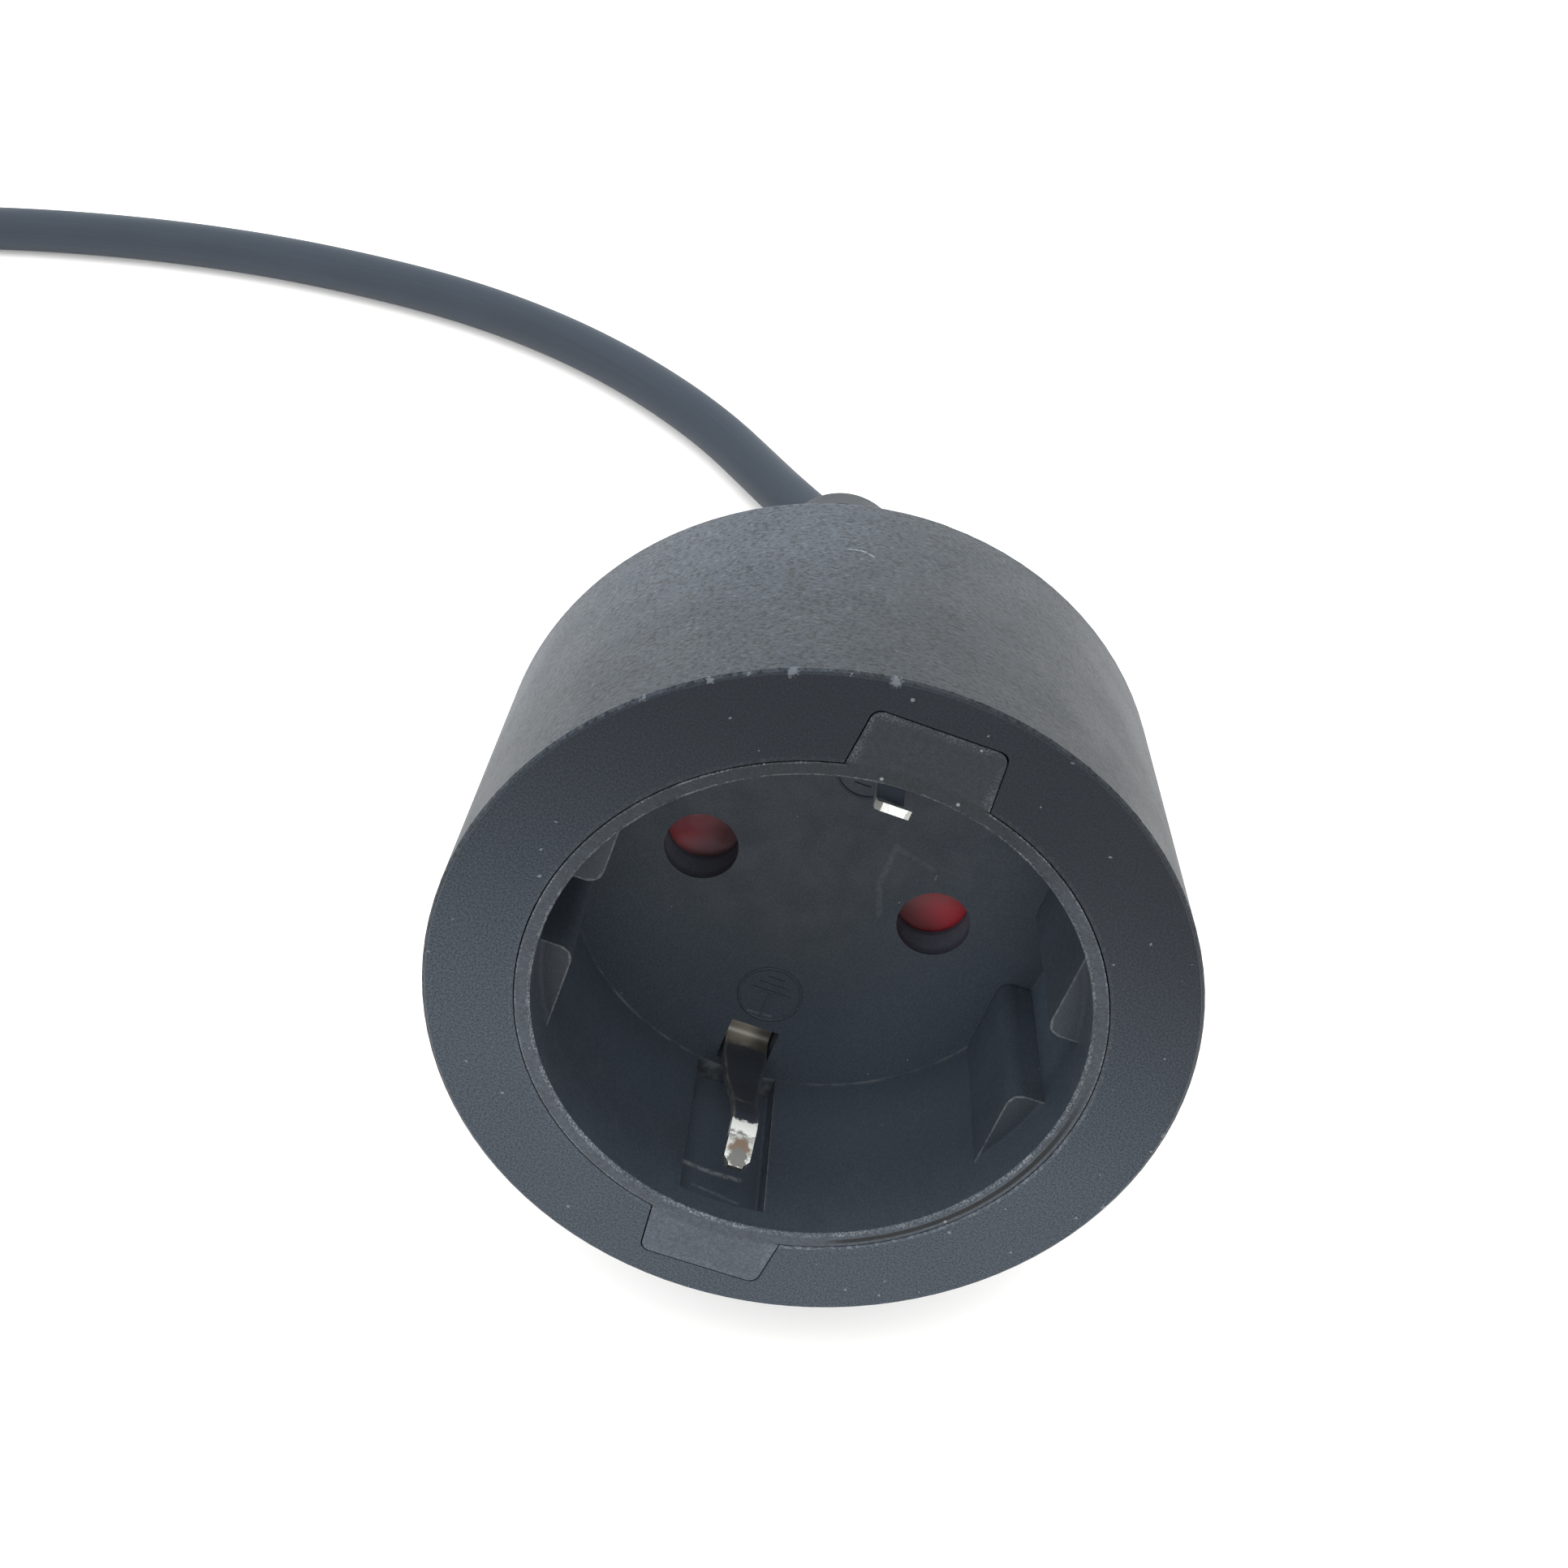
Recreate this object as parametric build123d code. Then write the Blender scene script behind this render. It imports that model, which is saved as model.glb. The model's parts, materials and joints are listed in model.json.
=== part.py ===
from build123d import *
import os
from math import asin, atan2, cos, degrees, hypot, pi, radians, sin, tan

# An earthed socket coupler on a short mains lead, with an in-line appliance plug at the
# far end. The coupler lies as it comes to rest: leaning back on its rear rim and on the
# tail of its strain relief, rolled a little about its own axis. Millimetres, +Z up, the
# origin on the table under the middle of the coupler, +Y towards its back.

# Round body of the coupler
BODY_RADIUS = 26.7
BODY_LENGTH = 29.3
BODY_EDGE = 0.35
FACE_BREAK = 0.3
ROLL = 18.9

# Neck and strain relief, measured back from the body's rear face
NECK_ROOT_RADIUS = 17.5
NECK_END_RADIUS = 14.5
NECK_LENGTH = 21.0
NECK_ROOT_ROUND = 2.0
SHOULDER_LENGTH = 6.0
SHOULDER_ROUND = 3.5
RELIEF_ROOT_RADIUS = 8.8
TAIL_RADIUS = 6.6
TAIL_DISTANCE = 58.0
TAIL_ROUND = 1.2
BELL_RADIUS = 3.6
BELL_LENGTH = 4.0

# Slots that let a strain relief bend
SLOT_COUNT = 5
SLOT_WIDTH = 1.9
SLOT_FLOOR = 1.7
SLOT_WEB = 4.2
SLOT_END_RING = 5.0

# Socket insert: recess, floor and the ring that shows in the face
RECESS_RADIUS = 19.25
RECESS_DEPTH = 17.6
MOUTH_BREAK = 0.25
RING_WIDTH = 1.05
LIP_DEPTH = 2.4
SKIRT_STEP = 0.9
FLOOR_THICKNESS = 3.2
CHAMBER_RADIUS = 17.9
LEDGE_WIDTH = 0.7
CHAMBER_DEPTH = 4.2
CARRIER_THICKNESS = 2.2
REAR_WALL = 1.3
FIT_GAP = 0.1

# Pins that the socket takes
PIN_SPACING = 19.0
PIN_HOLE_RADIUS = 2.85
PIN_LENGTH = 19.0

# Side guides: flats beside the pin line, with a groove between them
GUIDE_FLAT = 16.5
GUIDE_GROOVE = 5.8
GUIDE_START = 3.7
GUIDE_ROUND = 1.1

# Tabs of the insert that show in the face, over the earth clips
TAB_WIDTH = 9.8
TAB_TAPER = 0.8
TAB_REACH = 24.0
TAB_ROUND = 0.8
PAD_WIDTH = 9.2
PAD_REACH = 22.4
CHANNEL_WIDTH = 6.6
CHANNEL_FLOOR = 20.7
CHANNEL_START = 2.0
CLIP_SLOT_WIDTH = 4.0
CLIP_SLOT_INNER = 14.4
CLIP_SLOT_OUTER = 18.4

# Earth strap: sheet, its two clip fingers and the legs that join them
STRAP_THICKNESS = 0.6
STRAP_WIDTH = 3.6
FINGER_WIDTH = 2.0
TIP_RADIUS = 16.3
TIP_DEPTH = 2.6
TIP_CORNER = 0.45
BUMP_RADIUS = 14.5
BUMP_DEPTH = 6.0
BUMP_ROUND = 3.0
KNEE_RADIUS = 16.7
KNEE_DEPTH = 12.6
KNEE_ROUND = 6.0
ROOT_RADIUS = 17.2
ROOT_DEPTH = 19.7
LEG_RADIUS = 15.1
STRAP_BEND = 0.9
SHOULDER_START = 9.8
SHOULDER_END = 16.2

# Pin contacts: sheet leaves in boxes behind the carrier, with crimp barrels
LEAF_THICKNESS = 0.5
LEAF_WIDTH = 4.4
LEAF_GAP = 4.4
LEAF_FLARE = 0.3
LEAF_START = 0.7
LEAF_BEND = 0.6
BOX_WALL = 0.8
BOX_GAP_WIDE = 0.6
BACK_WALL_GAP = 0.65
BARREL_RADIUS = 1.7
BARREL_LENGTH = 8.0
BOX_LENGTH = 12.4
CHAMBER_WALL = 1.6

# Shutter: a rocker on the carrier's boss, with a ramp over each pin hole
SHUTTER_THICKNESS = 2.4
SHUTTER_GAP = 0.25
SHUTTER_LAP = 0.95
SHUTTER_ARM = 5.2
HUB_RADIUS = 4.2
BOSS_RADIUS = 1.6
RUNNING_GAP = 0.05
RAMP_ANGLE = 8.0

# Hairpin spring round the boss, its lug on the shutter and its post on the carrier
WIRE_RADIUS = 0.25
LOOP_CORNER = 3.2
LOOP_ROUND = 1.6
SPRING_REACH = 6.4
LUG_ANGLE = -22.0
POST_ANGLE = -74.0
PEG_RADIUS = 0.6
PEG_SHARE = 0.25
PEG_GAP = 0.05

# Lead
CABLE_RADIUS = 2.8
CABLE_GAP = 0.1
CORE_RADIUS = 1.15
CORE_SPREAD = 1.4
CORE_DROP = 0.7
CORE_RISE = 1.2
CORE_ROUND = 3.0
CORE_GRIP = 4.0
CORE_TAIL = 3.0
CORE_TURN = 8.0
ARC_SHARE = 0.45

# In-line plug: flat on the table, its mouth pointing away from the lead
PLUG_WIDTH = 28.4
PLUG_HEIGHT = 20.6
PLUG_CORNER = 3.0
PLUG_EDGE = 0.6
PLUG_BODY = 30.0
PLUG_SHOULDER = 9.0
PLUG_RELIEF_ROOT = 7.4
PLUG_TAIL_RADIUS = 5.4
PLUG_TAIL_ROUND = 0.8
PLUG_LENGTH = 62.0
SHROUD_WALL = 2.0
SHROUD_CORNER = 5.0
SHROUD_DEPTH = 16.5
PLATE_THICKNESS = 5.5
BLADE_WIDTH = 4.0
BLADE_THICKNESS = 2.0
BLADE_TIP = 2.5
BLADE_CHAMFER = 0.6
BLADE_SPACING = 14.0
BLADE_OFFSET = 2.0
BLADE_TAIL = 5.0
PLUG_BARREL_LENGTH = 5.0
PLUG_MOUTH_X = -256.0
PLUG_Y = 107.0

# Points of the lead's route on the table, from the coupler to the plug
ROUTE = [
    (-2.6, 50.1, 4.4),
    (-6.5, 55.9, 3.45),
    (-10.4, 61.6, 3.0),
    (-14.9, 67.7, 2.85),
    (-21.0, 74.2, 2.85),
    (-28.9, 81.1, 2.85),
    (-38.7, 87.9, 2.85),
    (-50.4, 94.0, 2.85),
    (-63.6, 98.9, 2.85),
    (-77.8, 103.0, 2.85),
    (-92.5, 105.8, 2.85),
    (-107.3, 107.4, 2.85),
    (-122.4, 107.8, 2.85),
    (-136.0, 107.6, 2.85),
    (-151.0, 107.3, 2.85),
    (-168.0, 107.0, 5.6),
]
EXIT_RUN = -0.5
ENTRY_RUN = 9.0

# Depths behind the coupler's face
FLOOR_BACK = RECESS_DEPTH + FLOOR_THICKNESS
CARRIER_FRONT = FLOOR_BACK + CHAMBER_DEPTH
SKIRT_END = CARRIER_FRONT + CARRIER_THICKNESS
TAIL_END = BODY_LENGTH + TAIL_DISTANCE
BOX_END = SKIRT_END + BOX_LENGTH
BACK_WALL = RECESS_DEPTH + PIN_LENGTH + BACK_WALL_GAP
BARREL_END = BACK_WALL + LEAF_THICKNESS + BARREL_LENGTH
CORE_START = BARREL_END - CORE_GRIP
SHEATH_START = BARREL_END + CORE_TAIL / 2 + CORE_TURN + CORE_TAIL

# Radii and half widths that several pieces share
RING_RADIUS = RECESS_RADIUS + RING_WIDTH
SKIRT_RADIUS = RING_RADIUS + SKIRT_STEP
CARRIER_RADIUS = CHAMBER_RADIUS + LEDGE_WIDTH
PIN_X = PIN_SPACING / 2
BORE_RADIUS = CABLE_RADIUS + CABLE_GAP
BOX_INNER_X = LEAF_WIDTH / 2 + BOX_GAP_WIDE
BOX_INNER_Y = LEAF_GAP / 2 + LEAF_THICKNESS + LEAF_FLARE + FIT_GAP
BOX_OUTER_X = BOX_INNER_X + BOX_WALL
BOX_OUTER_Y = BOX_INNER_Y + BOX_WALL
BOX_CORNER = hypot(PIN_X + BOX_OUTER_X, BOX_OUTER_Y)
SHUTTER_FRONT = FLOOR_BACK + SHUTTER_GAP
SHUTTER_BACK = SHUTTER_FRONT + SHUTTER_THICKNESS
LOBE_RADIUS = PIN_HOLE_RADIUS + SHUTTER_LAP
WIRE_DEPTH = (SHUTTER_BACK + CARRIER_FRONT) / 2


def polar(radius, angle):
    return (radius * cos(radians(angle)), radius * sin(radians(angle)))


def turned(*corners):
    """Solid turned about the axis, from corners (radius, depth) or (radius, depth, rounding)."""
    points = [(corner[0], -corner[1]) for corner in corners]
    roundings = [corner[2] if len(corner) > 2 else 0 for corner in corners[1:-1]]
    outline = FilletPolyline(*points, radius=roundings) + Line(points[-1], points[0])
    return revolve(Plane.XZ * make_face(outline), Axis.Z)


def disc(radius, front, back, x=0, y=0):
    """Cylinder along the axis between two depths."""
    return Pos(x, y, -(front + back) / 2) * Cylinder(radius, back - front)


def block(x_low, x_high, y_low, y_high, front, back):
    """Box between two depths."""
    middle = Pos((x_low + x_high) / 2, (y_low + y_high) / 2, -(front + back) / 2)
    return middle * Box(x_high - x_low, y_high - y_low, back - front)


def plate(outline, front, back):
    """Flat outline seen from the front, with its thickness between two depths."""
    return extrude(Pos(0, 0, -back) * outline, back - front)


def both_sides(piece):
    """The piece and its copy turned half round the axis."""
    return piece + Rot(Z=180) * piece


def folded(points, roundings, thickness, width):
    """Sheet metal strip of even width, folded along a line of points (height, depth)."""
    line = FilletPolyline(*[(y, -d) for y, d in points], radius=roundings)
    return extrude(Plane.YZ * trace(line, thickness), width / 2, both=True)


def rod(points, radius, rounding):
    """Round rod along points (x, y, depth) with rounded corners."""
    path = FilletPolyline(*[(x, y, -d) for x, y, d in points], radius=rounding)
    section = Plane(path @ 0, z_dir=path % 0) * Circle(radius)
    return sweep(section, path=path)


def relief_slots(start, end, outer, bore):
    """Ring slots along a strain relief, each bridged by two webs, turned a quarter each time."""
    pitch = (end - SLOT_END_RING - start) / SLOT_COUNT
    slots = []
    for i in range(SLOT_COUNT):
        front = start + (i + 1) * pitch - SLOT_WIDTH
        ring = disc(outer, front, front + SLOT_WIDTH) - disc(bore + SLOT_FLOOR, front, front + SLOT_WIDTH)
        web = block(-outer, outer, -SLOT_WEB / 2, SLOT_WEB / 2, front, front + SLOT_WIDTH)
        slots.append(ring - Rot(Z=90 * (i % 2)) * web)
    return slots


def tab_outline(gap):
    """Outline of one face tab, from inside the ring outwards, with a gap all round it."""
    half_in = TAB_WIDTH / 2 + gap
    half_out = half_in - TAB_TAPER / 2
    outer = TAB_REACH + gap
    inner = RECESS_RADIUS + RING_WIDTH / 2
    corners = [(-half_in, inner), (-half_out, outer), (half_out, outer), (half_in, inner)]
    outline = FilletPolyline(*corners, radius=TAB_ROUND) + Line(corners[-1], corners[0])
    return make_face(outline)


def insert_outside(gap):
    """Outside of the socket insert, with a gap all round it."""
    cup = turned(
        (0, 0),
        (RING_RADIUS + gap, 0),
        (RING_RADIUS + gap, LIP_DEPTH),
        (SKIRT_RADIUS + gap, LIP_DEPTH),
        (SKIRT_RADIUS + gap, SKIRT_END),
        (0, SKIRT_END),
    )
    tab = plate(tab_outline(gap), 0, LIP_DEPTH)
    half = PAD_WIDTH / 2 + gap
    pad = block(-half, half, RECESS_RADIUS, PAD_REACH + gap, LIP_DEPTH, FLOOR_BACK)
    return cup + both_sides(tab + pad)


def side_guides():
    """Two flats on each side of the recess, with the groove on the pin line between them."""
    half = GUIDE_GROOVE / 2
    outer = RECESS_RADIUS + RING_WIDTH / 2
    outline = Pos((GUIDE_FLAT + outer) / 2, (half + outer) / 2) * Rectangle(outer - GUIDE_FLAT, outer - half)
    corner = outline.vertices().sort_by(lambda v: v.X + v.Y)[0]
    outline = fillet(corner, GUIDE_ROUND) & Circle(outer)
    guide = plate(outline, GUIDE_START, RECESS_DEPTH + FLOOR_THICKNESS / 2)
    pair = guide + mirror(guide, about=Plane.XZ)
    return both_sides(pair)


def socket_insert():
    """Hard cup: the recess with its guides, the floor with its holes, the shutter's chamber."""
    recess = turned(
        (0, 0),
        (RECESS_RADIUS + MOUTH_BREAK, 0),
        (RECESS_RADIUS, MOUTH_BREAK),
        (RECESS_RADIUS, RECESS_DEPTH),
        (0, RECESS_DEPTH),
    )
    chamber = disc(CHAMBER_RADIUS, FLOOR_BACK, CARRIER_FRONT) + disc(CARRIER_RADIUS, CARRIER_FRONT, SKIRT_END)
    half = CHANNEL_WIDTH / 2
    channel = block(-half, half, BUMP_RADIUS, CHANNEL_FLOOR, CHANNEL_START, RECESS_DEPTH)
    half = CLIP_SLOT_WIDTH / 2
    slot = block(-half, half, CLIP_SLOT_INNER, CLIP_SLOT_OUTER, RECESS_DEPTH, FLOOR_BACK)
    slot += block(-half, half, CLIP_SLOT_INNER, CHAMBER_RADIUS, FLOOR_BACK, CARRIER_FRONT)
    hole = disc(PIN_HOLE_RADIUS, RECESS_DEPTH, FLOOR_BACK, x=PIN_X)
    cup = insert_outside(0) - recess - chamber - both_sides(channel + slot)
    return cup + side_guides() - both_sides(hole)


def spring_points():
    """Corners of the hairpin: the shutter's leg, the loop round the boss, the carrier's leg."""
    loop = [polar(LOOP_CORNER, angle) for angle in (30, 120, 210)]
    return [polar(SPRING_REACH, LUG_ANGLE), *loop, polar(SPRING_REACH, POST_ANGLE)]


def peg_place(end, corner, side):
    """Where a peg stands against a leg of the hairpin, on the given side of it."""
    run_x, run_y = corner[0] - end[0], corner[1] - end[1]
    long = hypot(run_x, run_y)
    off = (PEG_RADIUS + WIRE_RADIUS + PEG_GAP) * side / long
    return (end[0] + PEG_SHARE * run_x + off * run_y, end[1] + PEG_SHARE * run_y - off * run_x)


def contact_carrier():
    """Rear cap of the insert: boss for the shutter, post for its spring, boxes for the contacts."""
    half = STRAP_WIDTH / 2 + FIT_GAP
    low = LEG_RADIUS - STRAP_BEND - FIT_GAP
    high = LEG_RADIUS + STRAP_THICKNESS / 2 + FIT_GAP
    strap_slot = block(-half, half, low, high, CARRIER_FRONT, SKIRT_END)
    hole = block(
        PIN_X - BOX_INNER_X, PIN_X + BOX_INNER_X, -BOX_INNER_Y, BOX_INNER_Y, SKIRT_END, BOX_END
    ) + disc(PIN_HOLE_RADIUS, CARRIER_FRONT, SKIRT_END, x=PIN_X)
    box = block(PIN_X - BOX_OUTER_X, PIN_X + BOX_OUTER_X, -BOX_OUTER_Y, BOX_OUTER_Y, SKIRT_END, BOX_END)
    legs = spring_points()
    post_x, post_y = peg_place(legs[-1], legs[-2], -1)
    cap = disc(CARRIER_RADIUS - FIT_GAP, CARRIER_FRONT, SKIRT_END) + both_sides(box)
    cap += disc(BOSS_RADIUS, FLOOR_BACK + RUNNING_GAP, CARRIER_FRONT)
    cap += disc(PEG_RADIUS, SHUTTER_BACK + SHUTTER_GAP, CARRIER_FRONT, post_x, post_y)
    return cap - both_sides(hole + strap_slot)


def shutter():
    """Rocker with a lobe behind each pin hole, ramped so that two pins together turn it."""
    outline = Circle(HUB_RADIUS) + Rectangle(PIN_SPACING, SHUTTER_ARM)
    for x in (-PIN_X, PIN_X):
        outline += Pos(x, 0) * Circle(LOBE_RADIUS)
    rocker = plate(outline - Circle(BOSS_RADIUS + RUNNING_GAP), SHUTTER_FRONT, SHUTTER_BACK)
    cut = Box(2 * LOBE_RADIUS, 4 * LOBE_RADIUS, 4 * LOBE_RADIUS, align=(Align.CENTER, Align.CENTER, Align.MIN))
    ramp = Pos(PIN_X, -LOBE_RADIUS, -SHUTTER_FRONT) * Rot(X=-RAMP_ANGLE) * cut
    legs = spring_points()
    lug_x, lug_y = peg_place(legs[0], legs[1], 1)
    lug = disc(PEG_RADIUS, SHUTTER_BACK, CARRIER_FRONT - SHUTTER_GAP, lug_x, lug_y)
    return rocker - both_sides(ramp) + lug


def shutter_spring():
    """Wire hairpin between the shutter's lug and the carrier's post."""
    return rod([(x, y, WIRE_DEPTH) for x, y in spring_points()], WIRE_RADIUS, LOOP_ROUND)


def pin_contact():
    """Two sheet leaves that grip a pin, joined by a back wall with a crimp barrel."""
    middle = LEAF_GAP / 2 + LEAF_THICKNESS / 2
    wide = middle + LEAF_FLARE
    front = SKIRT_END + LEAF_START
    pinch = (front + BACK_WALL) / 2
    back = BACK_WALL + LEAF_THICKNESS / 2
    leaf = [(wide, front), (middle, pinch), (wide, back)]
    points = leaf + [(-y, d) for y, d in reversed(leaf)]
    sheet = folded(points, [LEAF_BEND] * (len(points) - 2), LEAF_THICKNESS, LEAF_WIDTH)
    return sheet + crimp_barrel(BACK_WALL + LEAF_THICKNESS / 2, BARREL_END)


def crimp_barrel(front, back):
    """Barrel with a blind front end, open at the back for a core."""
    return disc(BARREL_RADIUS, front, back) - disc(CORE_RADIUS + RUNNING_GAP, back - CORE_GRIP, back)


def earth_contact():
    """One strap: a sprung clip finger at each end, legs through the floor, a bridge behind the carrier."""
    bridge = SKIRT_END + RUNNING_GAP + STRAP_THICKNESS / 2
    half = [
        (TIP_RADIUS, TIP_DEPTH),
        (BUMP_RADIUS, BUMP_DEPTH),
        (KNEE_RADIUS, KNEE_DEPTH),
        (ROOT_RADIUS, ROOT_DEPTH),
        (LEG_RADIUS, ROOT_DEPTH),
        (LEG_RADIUS, bridge),
    ]
    roundings = [BUMP_ROUND, KNEE_ROUND, STRAP_BEND, STRAP_BEND, STRAP_BEND]
    points = half + [(-y, d) for y, d in reversed(half)]
    strap = folded(points, roundings + roundings[::-1], STRAP_THICKNESS, STRAP_WIDTH)
    inner, outer = FINGER_WIDTH / 2, STRAP_WIDTH / 2
    reach = STRAP_WIDTH
    side = Polyline(
        (inner - TIP_CORNER, -TIP_DEPTH), (inner, -TIP_DEPTH - TIP_CORNER), (inner, -SHOULDER_START),
        (outer, -SHOULDER_END), (reach, -SHOULDER_END), (reach, 0), (inner - TIP_CORNER, 0), close=True,
    )
    strip = extrude(Plane.XZ * make_face(side), BODY_RADIUS, both=True)
    strap = strap - strip - mirror(strip, about=Plane.YZ)
    return strap + crimp_barrel(bridge, bridge + BARREL_LENGTH)


def core_path(start_x, start_y, start, end_x, end_y, straight, end):
    """Points of a core: straight out of its barrel, across, and straight into the sheath."""
    return [
        (start_x, start_y, start),
        (start_x, start_y, straight),
        (end_x, end_y, straight + CORE_TURN),
        (end_x, end_y, end),
    ]


def coupler_core(side):
    """Core of one pin contact; side is 1 or -1."""
    straight = BARREL_END + CORE_TAIL / 2
    path = core_path(side * PIN_X, 0, CORE_START, side * CORE_SPREAD, -CORE_DROP, straight, SHEATH_START)
    return rod(path, CORE_RADIUS, CORE_ROUND)


def earth_core():
    """Core of the earth strap, down the middle of the neck."""
    start = SKIRT_END + RUNNING_GAP + STRAP_THICKNESS / 2 + BARREL_LENGTH - CORE_GRIP
    straight = BARREL_END + CORE_TAIL / 2
    path = core_path(0, 0, start, 0, CORE_RISE, straight, SHEATH_START)
    return rod(path, CORE_RADIUS, CORE_ROUND)


def coupler_housing():
    """Soft overmould: round body, neck and slotted strain relief, closed round the inner pieces."""
    neck_end = BODY_LENGTH + NECK_LENGTH
    relief_start = neck_end + SHOULDER_LENGTH
    outside = turned(
        (0, 0),
        (BODY_RADIUS - FACE_BREAK, 0),
        (BODY_RADIUS, FACE_BREAK),
        (BODY_RADIUS, BODY_LENGTH, BODY_EDGE),
        (NECK_ROOT_RADIUS, BODY_LENGTH, NECK_ROOT_ROUND),
        (NECK_END_RADIUS, neck_end, SHOULDER_ROUND),
        (RELIEF_ROOT_RADIUS, relief_start, SHOULDER_ROUND),
        (TAIL_RADIUS, TAIL_END, TAIL_ROUND),
        (0, TAIL_END),
    )
    wall_radius = SKIRT_RADIUS + REAR_WALL
    wall_back = SKIRT_END + REAR_WALL
    cover = turned((0, LIP_DEPTH), (wall_radius, LIP_DEPTH), (wall_radius, wall_back), (0, wall_back))
    bridge_radius = LEG_RADIUS + STRAP_THICKNESS / 2 + STRAP_BEND
    bridge_back = SKIRT_END + RUNNING_GAP + STRAP_THICKNESS + FIT_GAP
    box_radius = BOX_CORNER + FIT_GAP
    core_radius = PIN_X + BARREL_RADIUS + CHAMBER_WALL / 2
    turn_start = BARREL_END + CORE_TAIL / 2
    chamber = turned(
        (0, SKIRT_END),
        (bridge_radius, SKIRT_END),
        (bridge_radius, bridge_back),
        (box_radius, bridge_back),
        (box_radius, BOX_END + FIT_GAP),
        (core_radius, BOX_END + FIT_GAP),
        (core_radius, turn_start),
        (BORE_RADIUS, turn_start + CORE_TURN + CORE_TAIL / 2),
        (0, turn_start + CORE_TURN + CORE_TAIL / 2),
    )
    bore = disc(BORE_RADIUS, turn_start + CORE_TURN, TAIL_END)
    bell_start = TAIL_END - BELL_LENGTH
    bell = turned((0, bell_start), (BORE_RADIUS, bell_start), (BELL_RADIUS, TAIL_END), (0, TAIL_END))
    slots = relief_slots(relief_start, TAIL_END, NECK_END_RADIUS, BORE_RADIUS)
    return outside + cover - insert_outside(FIT_GAP) - chamber - bore - bell - slots


def shroud_outline(gap):
    """Outline of the plug's recess: a rectangle with two cut corners, with a gap taken off."""
    half_x = PLUG_WIDTH / 2 - SHROUD_WALL - gap
    half_y = PLUG_HEIGHT / 2 - SHROUD_WALL - gap
    return Polygon(
        (-half_x, -half_y), (half_x, -half_y), (half_x, half_y - SHROUD_CORNER),
        (half_x - SHROUD_CORNER, half_y), (-half_x + SHROUD_CORNER, half_y),
        (-half_x, half_y - SHROUD_CORNER), align=None,
    )


BLADES = {
    "plug_line": (-BLADE_SPACING / 2, -BLADE_OFFSET),
    "plug_neutral": (BLADE_SPACING / 2, -BLADE_OFFSET),
    "plug_earth": (0, BLADE_OFFSET),
}
PLATE_BACK = SHROUD_DEPTH + PLATE_THICKNESS
BLADE_END = PLATE_BACK + BLADE_TAIL
PLUG_BARREL_END = BLADE_END + PLUG_BARREL_LENGTH
PLUG_TURN = PLUG_BARREL_END + CORE_TAIL / 2
PLUG_SHEATH_START = PLUG_TURN + CORE_TURN + CORE_TAIL


def plug_housing():
    """Overmould of the in-line plug: shroud, body, shoulder and slotted strain relief."""
    outline = RectangleRounded(PLUG_WIDTH, PLUG_HEIGHT, PLUG_CORNER)
    body = plate(outline, 0, PLUG_BODY)
    body = chamfer(body.faces().sort_by(Axis.Z)[-1].edges(), PLUG_EDGE)
    relief_start = PLUG_BODY + PLUG_SHOULDER
    ends = Sketch() + [Pos(0, 0, -PLUG_BODY) * outline, Pos(0, 0, -relief_start) * Circle(PLUG_RELIEF_ROOT)]
    shoulder = loft(ends)
    relief = turned(
        (0, relief_start),
        (PLUG_RELIEF_ROOT, relief_start),
        (PLUG_TAIL_RADIUS, PLUG_LENGTH, PLUG_TAIL_ROUND),
        (0, PLUG_LENGTH),
    )
    reach_x = BLADE_SPACING / 2 + BARREL_RADIUS + CHAMBER_WALL / 2
    reach_y = BLADE_OFFSET + BLADE_WIDTH / 2 + CHAMBER_WALL / 2
    chamber = block(-reach_x, reach_x, -reach_y, reach_y, PLATE_BACK, PLUG_BARREL_END)
    funnel_end = PLUG_TURN + CORE_TURN + CORE_TAIL / 2
    mouth = Pos(0, 0, -PLUG_BARREL_END) * Rectangle(2 * reach_x, 2 * reach_y)
    funnel = loft(Sketch() + [mouth, Pos(0, 0, -funnel_end) * Circle(BORE_RADIUS)])
    bore = disc(BORE_RADIUS, funnel_end - CORE_TAIL / 2, PLUG_LENGTH)
    slots = relief_slots(relief_start, PLUG_LENGTH, PLUG_WIDTH / 2, BORE_RADIUS)
    recess = plate(shroud_outline(0), 0, PLATE_BACK)
    return body + shoulder + relief - recess - chamber - funnel - bore - slots


def blade_slot(gap, front, back):
    """Blade's section between two depths, with a gap all round it."""
    return plate(Rectangle(BLADE_THICKNESS + 2 * gap, BLADE_WIDTH + 2 * gap), front, back)


def plug_insert():
    """Plate at the bottom of the plug's recess that carries the three blades."""
    base = plate(shroud_outline(FIT_GAP), SHROUD_DEPTH, PLATE_BACK)
    for x, y in BLADES.values():
        base -= Pos(x, y) * blade_slot(RUNNING_GAP, SHROUD_DEPTH, PLATE_BACK)
    return base


def plug_blade(x, y):
    """Flat pin with a chamfered tip and a crimp barrel behind the plate."""
    blade = blade_slot(0, BLADE_TIP, BLADE_END)
    blade = chamfer(blade.faces().sort_by(Axis.Z)[-1].edges(), BLADE_CHAMFER)
    barrel = disc(BARREL_RADIUS, BLADE_END, PLUG_BARREL_END)
    barrel -= disc(CORE_RADIUS + RUNNING_GAP, PLUG_BARREL_END - CORE_GRIP, PLUG_BARREL_END)
    return Pos(x, y) * (blade + barrel)


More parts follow.
